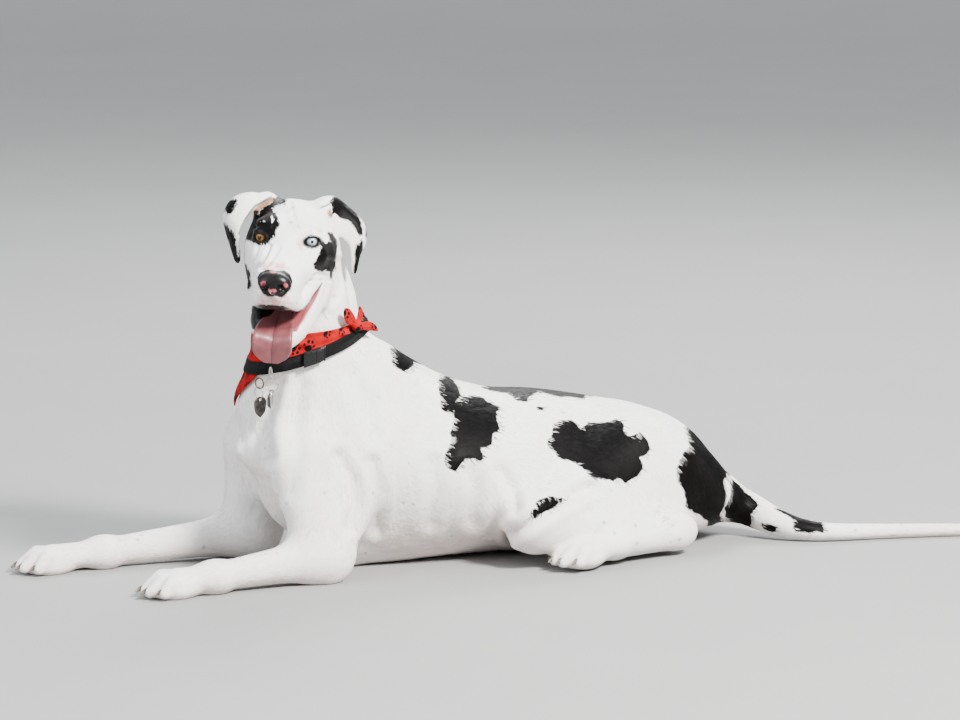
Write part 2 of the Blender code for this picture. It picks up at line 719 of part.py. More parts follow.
def keep_largest(obj):
    """Leaves only the body of a mesh with the most vertices."""
    bm = bmesh.new()
    bm.from_mesh(obj.data)
    left, bodies = set(bm.verts), []
    while left:
        found, edge = set(), {min(left, key=lambda v: v.index)}
        while edge:
            found |= edge
            edge = {e.other_vert(v) for v in edge for e in v.link_edges} - found
        left -= found
        bodies.append(found)
    bodies.sort(key=len)
    bmesh.ops.delete(bm, geom=[v for body in bodies[:-1] for v in body], context="VERTS")
    bm.to_mesh(obj.data)
    bm.free()


def take_out(obj, name, size, frame):
    """Splits the part of obj inside a box off as a new object, a gap away from the rest."""
    piece = copy_of(obj, name)
    combine(piece, box(size, frame), "INTERSECT")
    combine(obj, box(size, frame, GAP), "DIFFERENCE")
    return piece


def grown(obj, by):
    """A copy of obj with its surface moved out."""
    twin = copy_of(obj, "grown")
    bm = bmesh.new()
    bm.from_mesh(twin.data)
    bm.normal_update()
    for v in bm.verts:
        v.co += v.normal * by * v.calc_shell_factor()
    bm.to_mesh(twin.data)
    bm.free()
    return twin


def joined(obj, others):
    """Unites other objects with obj."""
    for other in others:
        combine(obj, other, "UNION")


def snap_to_floor(obj):
    """Puts every point close to the floor exactly on it."""
    for v in obj.data.vertices:
        if abs(v.co.z) < FLOOR_SNAP:
            v.co.z = 0.0


def make_flesh():
    body = body_field(BODY_CELL).mesh("torso")
    cut_plane(body, (0, 0, 0), (0, 0, 1))
    under = Vector(NECK_CUT_PLACE) - Vector(NECK_CUT_NORMAL) * GAP
    cut_plane(body, under, -Vector(NECK_CUT_NORMAL))
    thinned(body, BODY_TRIANGLES)
    snap_to_floor(body)
    head = head_field(HEAD_CELL).mesh("head")
    cut_plane(head, NECK_CUT_PLACE, NECK_CUT_NORMAL)
    thinned(head, HEAD_TRIANGLES)
    return body, head


CLAW_OUT, CLAW_LONG, CLAW_RADIUS, CLAW_SIDES = 0.005, 0.0105, 0.0036, 8


def claw(tip, forward):
    """A blunt cone that leans forward and down out of a toe."""
    along = unit(forward - (0, 0, 0.35))
    side = unit(np.cross(along, (0, 0, 1)))
    up = np.cross(side, along)
    angles = 2 * np.pi * np.arange(CLAW_SIDES) / CLAW_SIDES
    rings = []
    for share, size in ((0.0, 1.0), (0.6, 0.75), (1.0, 0.3)):
        centre = tip + (0, 0, 0.004) + forward * CLAW_OUT + along * CLAW_LONG * share
        rings.append([centre + (np.cos(t) * side + np.sin(t) * up) * CLAW_RADIUS * size for t in angles])
    return tube(rings, "claw")


def tube(rings, name, closed=False):
    """A closed solid through rings of places, with flat ends unless it is closed on itself."""
    rings = np.array(rings)
    count, sides = rings.shape[:2]
    faces = []
    for i in range(count if closed else count - 1):
        for j in range(sides):
            k, n = (j + 1) % sides, (i + 1) % count
            faces.append((i * sides + j, i * sides + k, n * sides + k, n * sides + j))
    if not closed:
        faces.append(tuple(range(sides)))
        faces.append(tuple(range((count - 1) * sides, count * sides)))
    return solid(name, rings.reshape(-1, 3), faces)


def add_claws(pieces):
    """Unites the claws with the four paws."""
    feet = {
        "forepaw_left": (*LEFT_FORELEG[1:], FORE_PAW_HALF),
        "forepaw_right": (*RIGHT_FORELEG[1:], FORE_PAW_HALF),
        "hindleg_left": (*hind_foot(-1)[1:], HIND_PAW_HALF),
        "hindleg_right": (*hind_foot(1)[1:], HIND_PAW_HALF),
    }
    for name, (wrist, toes, half) in feet.items():
        forward, _ = paw_axes(wrist, toes)
        tips = [line[2] for line in toe_lines(wrist, toes, half)]
        joined(pieces[name], [claw(tip, forward) for tip in tips])


# The tongue in the head's frame, root to tip: x, z, half width
TONGUE = (
    (0.060, -0.097, 0.017),
    (0.095, -0.108, 0.022),
    (0.128, -0.1155, 0.027),
    (0.150, -0.1180, 0.0285),
    (0.1635, -0.1250, 0.0295),
    (0.167, -0.136, 0.0305),
    (0.164, -0.149, 0.0295),
    (0.161, -0.159, 0.0220),
    (0.159, -0.165, 0.0100),
)
TONGUE_THICK, TONGUE_GROOVE = 0.0075, 0.0030


def make_tongue():
    rows = []
    for x, z, half in TONGUE:
        shares = np.linspace(-1, 1, 7)
        dip = TONGUE_GROOVE * (1 - np.abs(shares)) - 0.004 * shares**2
        rows.append([(x - d, half * share, z - d) for share, d in zip(shares, dip)])
    places = smooth_grid(rows, 7, 13)
    return thick_sheet("tongue", from_head(places.reshape(-1, 3)).reshape(places.shape), TONGUE_THICK, 0.5)


EYE_SIDES = 16


def make_eye(name, side, radius):
    """An eyeball with its clear front standing out a little."""
    frame = np.array(eye_frame(side))
    rings = []
    around = 2 * np.pi * np.arange(EYE_SIDES) / EYE_SIDES
    for polar in np.radians((8, 20, 32, 44, 58, 75, 95, 120, 150)):
        bulge = 1 + 0.05 * max(math.cos(polar * 2), 0) * (polar < 1)
        front = np.full(EYE_SIDES, math.cos(polar) * bulge)
        ring = np.column_stack([front, np.sin(polar) * np.cos(around), np.sin(polar) * np.sin(around)])
        rings.append(ring * radius @ frame[:3, :3].T + frame[:3, 3])
    return tube(rings, name)


# The neckwear goes round this upright line; angles run from the tail side towards the dog's right
NECK_LINE = (-0.032, 0.0)
REACH = 0.175
TURNS = 40
COLLAR_HEIGHT, COLLAR_SLOPE = 0.3562, 0.0340
COLLAR_WIDE, COLLAR_THICK, COLLAR_CLEAR = 0.020, 0.0028, 0.0062
BUCKLE_ANGLES, BUCKLE_WIDE, BUCKLE_THICK = (247.0, 265.0), 0.0245, 0.0055
SCARF_TOP, SCARF_THICK, SCARF_CLEAR = 0.3865, 0.0022, 0.0024
SCARF_TIP_ANGLE, SCARF_TIP_SPREAD, SCARF_TIP_DROP = 146.0, 58.0, 0.074


def collar_height(angle):
    return COLLAR_HEIGHT + COLLAR_SLOPE * math.cos(angle)


def scarf_heights(angle):
    """The lower and the upper edge of the bandana."""
    turned = abs((math.degrees(angle) - SCARF_TIP_ANGLE + 180) % 360 - 180)
    drop = SCARF_TIP_DROP * max(0.0, 1 - turned / SCARF_TIP_SPREAD)
    return collar_height(angle) - 0.004 - drop, SCARF_TOP + 0.009 * math.cos(angle)


def around_neck(tree, angle, height):
    """How far the neck stands out from its line."""
    centre = Vector((*NECK_LINE, height))
    way = Vector((math.cos(angle), math.sin(angle), 0))
    found = tree.ray_cast(centre + way * REACH, -way)
    return REACH - found[3]


def band(name, tree, angles, edges, rows, clear, thick, closed):
    """A strip that follows the neck, between two heights at each angle."""
    heights = np.array([np.linspace(*edges(a), rows) for a in angles])
    out = np.array([[around_neck(tree, a, z) for z in line] for a, line in zip(angles, heights)])
    if closed:
        smooth = (np.roll(out, 1, 0) + np.roll(out, -1, 0) + 2 * out) / 4
        out = np.maximum(out, smooth)
    way = np.column_stack([np.cos(angles), np.sin(angles)])

    def side(extra):
        flat = np.array(NECK_LINE) + way[:, None, :] * (out + extra)[..., None]
        return np.concatenate([flat, heights[..., None]], -1)

    inner, outer = side(clear), side(clear + thick)
    rings = np.concatenate([inner, outer[:, ::-1]], 1)
    return tube(rings, name, closed)


def make_neckwear(body):
    tree = BVHTree.FromObject(body, bpy.context.evaluated_depsgraph_get())
    turns = 2 * np.pi * np.arange(TURNS) / TURNS
    half = COLLAR_WIDE / 2

    def strap(angle):
        return collar_height(angle) - half, collar_height(angle) + half

    def clasp(angle):
        return collar_height(angle) - BUCKLE_WIDE / 2, collar_height(angle) + BUCKLE_WIDE / 2

    collar = band("collar", tree, turns, strap, 3, COLLAR_CLEAR, COLLAR_THICK, True)
    arc = np.radians(np.linspace(*BUCKLE_ANGLES, 5))
    band("collar_buckle", tree, arc, clasp, 3, COLLAR_CLEAR + COLLAR_THICK + 2 * GAP, BUCKLE_THICK, False)
    scarf = band("bandana", tree, turns, scarf_heights, 5, SCARF_CLEAR, SCARF_THICK, True)
    make_knot((scarf, collar, body))


KNOT_PLACE = (0.0185, -0.0880, 0.3895)
KNOT_CELL, KNOT_TRIANGLES = 0.0020, 520
KNOT_RADII = (0.0095, 0.0090, 0.0100)
KNOT_FACE, KNOT_FLAT = (0.3, -0.9, 0), 0.42
# Two loops that stand up from the knot and one end that hangs back: places from the knot, and half widths
KNOT_ENDS = (
    (
        ((-0.004, -0.001, 0.004), (-0.012, -0.004, 0.011), (-0.018, -0.007, 0.020), (-0.021, -0.008, 0.026)),
        (0.0050, 0.0095, 0.0085, 0.0045),
    ),
    (
        ((0.003, 0.001, 0.005), (0.007, 0.004, 0.014), (0.009, 0.007, 0.021), (0.009, 0.009, 0.026)),
        (0.0045, 0.0060, 0.0050, 0.0030),
    ),
    (
        ((0.008, 0.001, -0.002), (0.022, 0.009, -0.003), (0.034, 0.016, -0.007), (0.042, 0.020, -0.012)),
        (0.0055, 0.0075, 0.0060, 0.0030),
    ),
)


def make_knot(others):
    """The knot of the bandana with two loops that stand up and one end that hangs back."""
    knot = Vector(KNOT_PLACE)
    field = Field(knot - Vector((0.06, 0.06, 0.06)), knot + Vector((0.08, 0.06, 0.06)), KNOT_CELL)
    field.join(ball(knot, KNOT_RADII), 0.004)
    for line, radii in KNOT_ENDS:
        end = [knot + Vector(place) for place in line]
        field.join(curved(end, radii, 9, KNOT_FACE, KNOT_FLAT), 0.003)
    made = field.mesh("bandana_knot")
    thinned(made, KNOT_TRIANGLES)
    for other in others:
        combine(made, grown(other, 2 * GAP), "DIFFERENCE")


# Rings and tags in front of the chest: angle about the neck's line, distance from it and height
HOOK, HOOK_HALVES, HOOK_WIRE = (221.0, 0.1165, 0.3225), (0.0040, 0.0095), 0.0012
RING_A, RING_A_RADIUS = (222.0, 0.1165, 0.3050), 0.0105
D_RING, D_RING_RADIUS = (207.5, 0.1080, 0.3035), 0.0080
RING_B, RING_B_RADIUS, RING_B_TWIST = (208.5, 0.1120, 0.2895), 0.0092, -8.0
RING_WIRE, D_WIRE = 0.0009, 0.0012
TAG_THICK, TAG_HOLE = 0.0014, 0.0026
TAG_SWING, TAG_LEAN, TAG_DARK_SWING = (10.0, -14.0), 0.4, 18.0
# Outlines of the tags from their holes: to the side and up
SHIELD = ((0.0, 0.0045), (0.007, 0.003), (0.012, -0.003), (0.0115, -0.014), (0.008, -0.022), (0.0, -0.028))
DISC = (
    (0.0, 0.0045),
    (0.005, 0.002),
    (0.009, -0.004),
    (0.0105, -0.012),
    (0.009, -0.020),
    (0.005, -0.0245),
    (0.0, -0.026),
)


def hung(place, twist=0.0):
    """Middle, outward and sideways directions at a place in front of the chest."""
    angle, out, height = math.radians(place[0]), place[1], place[2]
    way = np.array((math.cos(angle), math.sin(angle), 0))
    turned = angle + math.radians(twist)
    face = np.array((math.cos(turned), math.sin(turned), 0))
    return np.array((*NECK_LINE, height)) + way * out, face, np.cross((0, 0, 1), face)


def wire_ring(name, middle, across, halves, wire, count=16, sides=5):
    """A ring of wire in the plane of one level direction and the upright."""
    normal = np.cross(across, (0, 0, 1))
    rings = []
    turns = 2 * np.pi * np.arange(sides) / sides
    for t in 2 * np.pi * np.arange(count) / count:
        out = unit(across * math.cos(t) * halves[1] + np.array((0, 0, math.sin(t) * halves[0])))
        centre = middle + across * math.cos(t) * halves[0] + (0, 0, math.sin(t) * halves[1])
        rings.append([centre + wire * (out * math.cos(k) + normal * math.sin(k)) for k in turns])
    return tube(rings, name, True)


def tag(name, hole, across, outline):
    """A thin bare tag with a hole, in the plane of one level direction and the upright."""
    normal = np.cross(across, (0, 0, 1))
    half = list(outline)
    full = half + [(-x, z) for x, z in half[-2:0:-1]]
    layers = [
        [hole + across * x + (0, 0, z) + normal * side * TAG_THICK / 2 for x, z in full] for side in (-1, 1)
    ]
    made = tube(layers, name)
    turns = 2 * np.pi * np.arange(12) / 12
    rim = [hole + TAG_HOLE * (across * math.cos(t) + np.array((0, 0, math.sin(t)))) for t in turns]
    drill = [[place + normal * side * 0.004 for place in rim] for side in (-1, 1)]
    combine(made, tube(drill, "drill"), "DIFFERENCE")
    return made


def make_rings():
    middle, face, across = hung(HOOK)
    wire_ring("collar_hook", middle, face, HOOK_HALVES, HOOK_WIRE)
    middle, face, across = hung(RING_A)
    wire_ring("split_ring_a", middle, across, (RING_A_RADIUS,) * 2, RING_WIRE)
    for name, swing in zip(("tag_silver_a", "tag_silver_b"), TAG_SWING):
        swing, lean = math.radians(swing), math.radians(swing * TAG_LEAN)
        hole = middle + RING_A_RADIUS * (across * math.sin(swing) - np.array((0, 0, math.cos(swing))))
        tag(name, hole - (0, 0, TAG_HOLE - RING_WIRE - GAP), unit(face + across * lean), DISC)
    middle, face, across = hung(D_RING)
    wire_ring("collar_ring", middle, across, (D_RING_RADIUS,) * 2, D_WIRE)
    middle, face, across = hung(RING_B, RING_B_TWIST)
    wire_ring("split_ring_b", middle, across, (RING_B_RADIUS,) * 2, RING_WIRE)
    swing = math.radians(TAG_DARK_SWING)
    hole = middle + RING_B_RADIUS * (across * math.sin(swing) - np.array((0, 0, math.cos(swing))))
    tag("tag_dark", hole - (0, 0, TAG_HOLE - RING_WIRE - GAP), face, SHIELD)


def paint(obj, colour, roughness, metallic=0.0):
    """Gives an object its own material."""
    material = bpy.data.materials.new(obj.name)
    material.use_nodes = True
    shader = material.node_tree.nodes["Principled BSDF"]
    shader.inputs["Base Color"].default_value = (*colour, 1)
    shader.inputs["Roughness"].default_value = roughness
    shader.inputs["Metallic"].default_value = metallic
    material.diffuse_color = (*colour, 1)
    obj.data.materials.clear()
    obj.data.materials.append(material)


COAT = (0.86, 0.84, 0.82)
SKIN_PINK = (0.60, 0.24, 0.24)
BLACK_NYLON = (0.012, 0.012, 0.014)
RED_COTTON = (0.62, 0.02, 0.03)
AMBER = (0.35, 0.15, 0.02)
PALE_BLUE = (0.55, 0.66, 0.72)
STEEL = (0.60, 0.60, 0.60)
BRONZE = (0.22, 0.13, 0.08)
DARK_BRONZE = (0.09, 0.08, 0.07)
LOOKS = {
    "tongue": (SKIN_PINK, 0.35, 0.0),
    "eye_right": (AMBER, 0.08, 0.0),
    "eye_left": (PALE_BLUE, 0.08, 0.0),
    "collar": (BLACK_NYLON, 0.75, 0.0),
    "collar_buckle": (BLACK_NYLON, 0.35, 0.0),
    "bandana": (RED_COTTON, 0.85, 0.0),
    "bandana_knot": (RED_COTTON, 0.85, 0.0),
    "collar_hook": (STEEL, 0.25, 1.0),
    "collar_ring": (BRONZE, 0.35, 1.0),
    "split_ring_a": (STEEL, 0.2, 1.0),
    "split_ring_b": (STEEL, 0.2, 1.0),
    "tag_silver_a": (STEEL, 0.3, 1.0),
    "tag_silver_b": (STEEL, 0.3, 1.0),
    "tag_dark": (DARK_BRONZE, 0.4, 1.0),
}


def main():
    for obj in list(bpy.data.objects):
        bpy.data.objects.remove(obj)
    body, head = make_flesh()
    make_neckwear(body)
    make_rings()
    pieces = {"torso": body}
    for name, middle, size, turn, nod in BODY_BOXES:
        place = Matrix.Translation(middle) @ Matrix.Rotation(math.radians(turn), 4, "Z")
        pieces[name] = take_out(body, name, size, place @ Matrix.Rotation(math.radians(nod), 4, "Y"))
    add_claws(pieces)
    for name, middle, tilt in EAR_BOXES:
        place = head_frame() @ Matrix.Translation(middle) @ Matrix.Rotation(math.radians(tilt), 4, "X")
        take_out(head, name, EAR_BOX_SIZE, place)
    for name, side in (("eye_right", -1), ("eye_left", 1)):
        make_eye(name, side, EYE_RADIUS)
        combine(head, make_eye("socket", side, EYE_RADIUS + GAP), "DIFFERENCE")
    combine(head, grown(make_tongue(), 2 * GAP), "DIFFERENCE")
    keep_largest(head)
    for obj in bpy.data.objects:
        look = LOOKS.get(obj.name, (COAT, 0.7, 0.0))
        paint(obj, *look)
        for face in obj.data.polygons:
            face.use_smooth = obj.name != "collar_buckle"


main()
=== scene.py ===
"""Dressed model of a harlequin great dane lying on its chest: skin, coat, eyes, mouth and neckwear.

Metres, +Z up. The dog faces -X and its left side is -Y.
"""

import json
import math
from functools import partial

import bmesh
import bpy
import numpy as np
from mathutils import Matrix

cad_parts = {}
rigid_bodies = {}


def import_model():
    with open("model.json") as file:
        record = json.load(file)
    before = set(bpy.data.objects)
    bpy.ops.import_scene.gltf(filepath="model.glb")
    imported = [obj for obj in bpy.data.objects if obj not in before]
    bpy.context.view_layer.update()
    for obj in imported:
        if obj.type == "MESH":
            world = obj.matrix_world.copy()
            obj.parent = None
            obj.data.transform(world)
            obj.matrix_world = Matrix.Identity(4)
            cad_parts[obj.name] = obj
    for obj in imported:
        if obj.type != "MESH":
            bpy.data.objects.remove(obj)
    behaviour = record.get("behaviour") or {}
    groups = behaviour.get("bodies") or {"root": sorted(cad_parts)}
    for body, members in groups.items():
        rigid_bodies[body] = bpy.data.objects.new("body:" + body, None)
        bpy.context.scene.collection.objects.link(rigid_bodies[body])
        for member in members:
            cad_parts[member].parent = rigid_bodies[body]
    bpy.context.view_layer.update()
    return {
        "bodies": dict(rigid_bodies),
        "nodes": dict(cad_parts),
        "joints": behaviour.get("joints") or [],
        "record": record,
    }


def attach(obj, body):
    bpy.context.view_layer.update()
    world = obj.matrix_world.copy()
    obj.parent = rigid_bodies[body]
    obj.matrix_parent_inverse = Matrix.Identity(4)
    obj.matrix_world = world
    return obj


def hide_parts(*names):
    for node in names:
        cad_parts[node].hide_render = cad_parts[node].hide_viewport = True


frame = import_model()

import openvdb
from mathutils import Matrix, Vector
from mathutils.bvhtree import BVHTree
from mathutils.kdtree import KDTree

# Grid cells, and how deep the skin lies under the coat's surface
BODY_CELL = 0.0045
HEAD_CELL = 0.0018
COAT_DEPTH = 0.0015
FACE_DEPTH = 0.0008
FAR = 0.05
GAP = 0.0003
FLESH = (
    "torso", "neck", "head", "ear_left", "ear_right", "foreleg_left", "foreleg_right", "forepaw_left",
    "forepaw_right", "hindleg_left", "hindleg_right", "tail_root", "tail_middle", "tail_tip",
)  # fmt: skip


class Field:
    """A block of cubic cells that holds the distance to a surface, below zero inside it."""

    def __init__(self, low, high, cell):
        self.low = np.array(low, np.float32)
        self.cell = cell
        counts = np.ceil((np.array(high) - np.array(low)) / cell).astype(int) + 1
        self.values = np.full(counts, FAR, np.float32)

    def window(self, low, high):
        """The index ranges of the cells between two corners, and the places of those cells."""
        first = np.floor((np.array(low) - self.low) / self.cell).astype(int)
        last = np.ceil((np.array(high) - self.low) / self.cell).astype(int) + 1
        first = np.clip(first, 0, self.values.shape)
        last = np.clip(last, first, self.values.shape)
        where = tuple(slice(a, b) for a, b in zip(first, last))
        axes = [
            self.low[k] + self.cell * np.arange(first[k], last[k], dtype=np.float32)
            for k in range(3)
        ]
        return where, np.stack(np.meshgrid(*axes, indexing="ij"), -1)

    def join(self, shape, blend=0.01):
        """Adds a shape, with a fillet about as wide as blend."""
        distance, low, high = shape
        where, places = self.window(low - blend - self.cell * 2, high + blend + self.cell * 2)
        if places.size:
            self.values[where] = soft_least(self.values[where], distance(places), blend)

    def carve(self, shape, blend=0.004):
        """Takes a shape away, with its rim rounded over about as wide as blend."""
        distance, low, high = shape
        where, places = self.window(low - blend - self.cell * 2, high + blend + self.cell * 2)
        if places.size:
            self.values[where] = -soft_least(-self.values[where], distance(places), blend)

    def mesh(self, name, frame=None):
        """The surface as a new object, moved by frame."""
        grid = openvdb.FloatGrid(FAR)
        grid.copyFromArray(np.ascontiguousarray(self.values))
        points, quads = grid.convertToQuads(0.0)
        points = points * self.cell + self.low
        made = bpy.data.meshes.new(name)
        made.from_pydata(points.tolist(), [], quads.tolist())
        if frame is not None:
            made.transform(frame)
        obj = bpy.data.objects.new(name, made)
        bpy.context.scene.collection.objects.link(obj)
        return obj


def soft_least(a, b, blend):
    """The lesser of two distances, with a fillet where they are alike."""
    near = np.maximum(blend - np.abs(a - b), 0.0) / blend
    return np.minimum(a, b) - near * near * (blend / 4)


def unit(v):
    v = np.array(v, float)
    return v / np.linalg.norm(v)


def ball(centre, radii, turn=None):
    """An ellipsoid. The columns of turn are its own axes."""
    centre, radii = np.array(centre, np.float32), np.array(radii, np.float32)

    def distance(p):
        q = p - centre
        if turn is not None:
            q = q @ np.array(turn, np.float32)
        near = np.linalg.norm(q / radii, axis=-1)
        steep = np.linalg.norm(q / radii**2, axis=-1)
        return near * (near - 1) / np.maximum(steep, 1e-6)

    reach = radii.max()
    return distance, centre - reach, centre + reach


def limb(a, b, ra, rb, side=None, flat=1.0):
    """A cone with round ends from a to b. It is flat times as thick along side as across it."""
    a, b = np.array(a, np.float32), np.array(b, np.float32)
    along = b - a
    long = float(along @ along)

    def distance(p):
        t = np.clip(((p - a) @ along) / long, 0, 1)
        q = p - a - t[..., None] * along
        if side is not None:
            axis = unit(side).astype(np.float32)
            q = q + (q @ axis)[..., None] * axis * (1 / flat - 1)
        return (np.linalg.norm(q, axis=-1) - (ra + (rb - ra) * t)) * min(flat, 1.0)

    reach = max(ra, rb) * max(flat, 1.0)
    return distance, np.minimum(a, b) - reach, np.maximum(a, b) + reach


def chain(points, radii, side=None, flat=1.0):
    """Limbs end to end through points."""
    links = [
        limb(a, b, ra, rb, side, flat)
        for a, b, ra, rb in zip(points, points[1:], radii, radii[1:])
    ]

    def distance(p):
        return np.minimum.reduce([link[0](p) for link in links])

    return distance, np.min([s[1] for s in links], 0), np.max([s[2] for s in links], 0)


def curved(points, radii, count, side=None, flat=1.0):
    """A chain of many limbs on a smooth curve through points."""
    table = np.column_stack([np.arange(len(points)), np.array(points, float), radii])
    at = np.linspace(0, len(points) - 1, count + 1)
    smooth = np.column_stack([flowing(at, table, k) for k in range(1, 5)])
    return chain(smooth[:, :3], smooth[:, 3], side, flat)


def placed(shape, frame):
    """A shape given in its own frame, put where the 4x4 matrix frame says."""
    distance, low, high = shape
    m = np.array(frame, np.float32)
    ends = np.array([low, high])
    corners = np.array([[ends[i, 0], ends[j, 1], ends[k, 2]] for i, j, k in np.ndindex(2, 2, 2)])
    corners = corners @ m[:3, :3].T + m[:3, 3]

    def distance_there(p):
        return distance((p - m[:3, 3]) @ m[:3, :3])

    return distance_there, corners.min(0), corners.max(0)


def flowing(at, stations, column):
    """A smooth curve through one column of stations, read at the places at along their first column."""
    x = np.array([s[0] for s in stations], float)
    y = np.array([s[column] for s in stations], float)
    slope = np.gradient(y, x)
    i = np.clip(np.searchsorted(x, at) - 1, 0, len(x) - 2)
    h = x[i + 1] - x[i]
    t = np.clip((at - x[i]) / h, 0, 1)
    return (
        (2 * t**3 - 3 * t**2 + 1) * y[i]
        + (t**3 - 2 * t**2 + t) * h * slope[i]
        + (3 * t**2 - 2 * t**3) * y[i + 1]
        + (t**3 - t**2) * h * slope[i + 1]
    ).astype(np.float32)


def trunk(stations, top_pinch=0.35, keel_pinch=0.3, square=2.3):
    """A barrel along X. A station holds x, the heights of the back and of the belly, and the half width."""
    first, last = stations[0][0], stations[-1][0]

    def distance(p):
        back, belly, half = (flowing(np.clip(p[..., 0], first, last), stations, k) for k in (1, 2, 3))
        middle, tall = (back + belly) / 2, (back - belly) / 2
        least = np.minimum(half, tall)
        up = (p[..., 2] - middle) / tall
        pinch = np.where(up > 0, top_pinch, keel_pinch) * np.minimum(up * up, 1)
        out = np.abs(p[..., 1]) / (half * (1 - pinch))
        near = (out**square + np.abs(up) ** square) ** (1 / square)
        past = np.maximum(np.maximum(first - p[..., 0], p[..., 0] - last), 0)
        return np.hypot(np.maximum(near - 1, 0) * least, past) + np.minimum(near - 1, 0) * least

    low = np.array([first, -max(s[3] for s in stations), min(s[2] for s in stations)])
    high = np.array([last, max(s[3] for s in stations), max(s[1] for s in stations)])
    return distance, low, high


# Trunk, from the breast to the rump: x, back, belly, half width
TRUNK = (
    (-0.118, 0.240, 0.150, 0.040),
    (-0.098, 0.285, 0.100, 0.068),
    (-0.055, 0.340, 0.050, 0.092),
    (0.000, 0.366, -0.004, 0.112),
    (0.060, 0.361, -0.004, 0.126),
    (0.115, 0.337, -0.003, 0.136),
    (0.190, 0.294, 0.001, 0.142),
    (0.265, 0.268, 0.002, 0.142),
    (0.360, 0.257, 0.006, 0.132),
    (0.460, 0.238, 0.018, 0.114),
    (0.545, 0.217, 0.026, 0.104),
    (0.600, 0.195, 0.026, 0.096),
    (0.640, 0.163, 0.020, 0.084),
    (0.680, 0.100, 0.026, 0.050),
)


def add_trunk(field):
    field.join(trunk(TRUNK), 0.02)
    # The top of the breast
    field.join(ball((-0.080, 0.012, 0.262), (0.050, 0.060, 0.045)), 0.03)
    for side in (-1, 1):
        # The shoulder blade with its muscle, the point of the shoulder, the hip and the seat bone
        top, point = (0.060, side * 0.050, 0.312), (-0.068, side * 0.078, 0.200)
        field.join(limb(top, point, 0.034, 0.044, (0, 1, 0), 0.8), 0.05)
        field.join(ball((0.500, side * 0.060, 0.172), (0.060, 0.038, 0.036)), 0.04)
        field.join(ball((0.645, side * 0.048, 0.072), (0.038, 0.036, 0.040)), 0.04)


def add_foreleg(field, side, elbow, wrist, toes):
    """Upper arm, forearm along the floor, wrist and paw."""
    elbow, wrist, toes = (np.array(p, float) for p in (elbow, wrist, toes))
    shoulder = np.array([-0.076, side * 0.094, 0.185])
    field.join(limb(shoulder, elbow + (0.0, 0, 0.012), 0.052, 0.041, (0, 1, 0), 0.85), 0.04)
    # Triceps behind the upper arm, and the point of the elbow
    triceps = limb((0.035, side * 0.112, 0.185), elbow + (0.022, 0, 0.02), 0.044, 0.026, (0, 1, 0), 0.6)
    field.join(triceps, 0.04)
    field.join(ball(elbow + (0.022, 0, 0.002), (0.024, 0.024, 0.032)), 0.02)
    field.join(curved([elbow, elbow * 0.65 + wrist * 0.35, wrist], [0.039, 0.030, 0.0225], 10), 0.03)
    field.join(ball(wrist, (0.028, 0.028, 0.0235)), 0.015)
    add_paw(field, wrist, toes, FORE_PAW_HALF)


# The four toes: how far out of the paw's middle, and how far back of the longest
TOE_SPREAD = ((-0.75, 0.016), (-0.25, 0.0), (0.25, 0.0), (0.75, 0.016))
KNUCKLES_BACK = 0.060


def paw_axes(wrist, toes):
    forward = unit(np.array(toes) - wrist)
    return forward, unit(np.cross((0, 0, 1), forward))


def toe_lines(wrist, toes, half):
    """Root, knuckle and tip of each toe."""
    forward, across = paw_axes(wrist, toes)
    knuckles = toes - forward * KNUCKLES_BACK
    for out, back in TOE_SPREAD:
        root = knuckles + across * out * half * 0.62
        tip = toes + across * out * half - forward * (back + 0.010) - (0, 0, 0.009)
        yield root, (root + tip) / 2 + np.array((0, 0, 0.010)), tip


def add_paw(field, wrist, toes, half):
    """Pastern, pads and four arched toes between the wrist and the toes' tips."""
    forward, across = paw_axes(wrist, toes)
    knuckles = toes - forward * KNUCKLES_BACK
    field.join(limb(wrist, knuckles, 0.0205, 0.0215, across, 1.35), 0.02)
    field.join(ball(knuckles + forward * 0.012 - (0, 0, 0.010), (0.038, 0.038, 0.018)), 0.02)
    for line in toe_lines(wrist, toes, half):
        field.join(curved(line, [0.0125, 0.0130, 0.0105], 6), 0.005)


def hind_foot(side):
    """The hock, the root of the toes and the toes' tips."""
    hock = np.array([0.530, side * 0.150, 0.038])
    toes = np.array([0.300, side * 0.205, 0.026])
    return hock, hock + (toes - hock) * 0.50, toes


def add_hindleg(field, side):
    """A folded hind leg: the thigh over the shank, and the foot forward along the floor."""
    hip = np.array([0.510, side * 0.066, 0.122])
    knee = np.array([0.290, side * 0.160, 0.073])
    hock, foot, toes = hind_foot(side)
    field.join(limb(hip, knee, 0.080, 0.046, (0, 1, 0.2), 0.74), 0.04)
    buttock = limb((0.590, side * 0.070, 0.080), (0.440, side * 0.130, 0.055), 0.062, 0.054, (0, 1, 0), 0.74)
    field.join(buttock, 0.04)
    field.join(limb(knee, hock, 0.042, 0.026), 0.03)
    field.join(ball(hock + (0.016, 0, 0), (0.028, 0.020, 0.026)), 0.02)
    field.join(limb(hock, foot, 0.023, 0.022), 0.02)
    add_paw(field, foot, toes, HIND_PAW_HALF)


# The head's own frame: X to the nose, Y to its left, Z up, from the middle of the skull
HEAD_PLACE = (-0.0745, -0.0485, 0.528)
HEAD_TURN, HEAD_NOD, HEAD_TILT = 61.0, 3.0, 4.0


def head_frame():
    turn = Matrix.Rotation(math.radians(180 + HEAD_TURN), 4, "Z")
    nod = Matrix.Rotation(math.radians(HEAD_NOD), 4, "Y")
    tilt = Matrix.Rotation(math.radians(-HEAD_TILT), 4, "X")
    return Matrix.Translation(HEAD_PLACE) @ turn @ nod @ tilt


def from_head(points):
    """Points of the head's frame, in the body's."""
    frame = np.array(head_frame())
    return np.array(points, float) @ frame[:3, :3].T + frame[:3, 3]


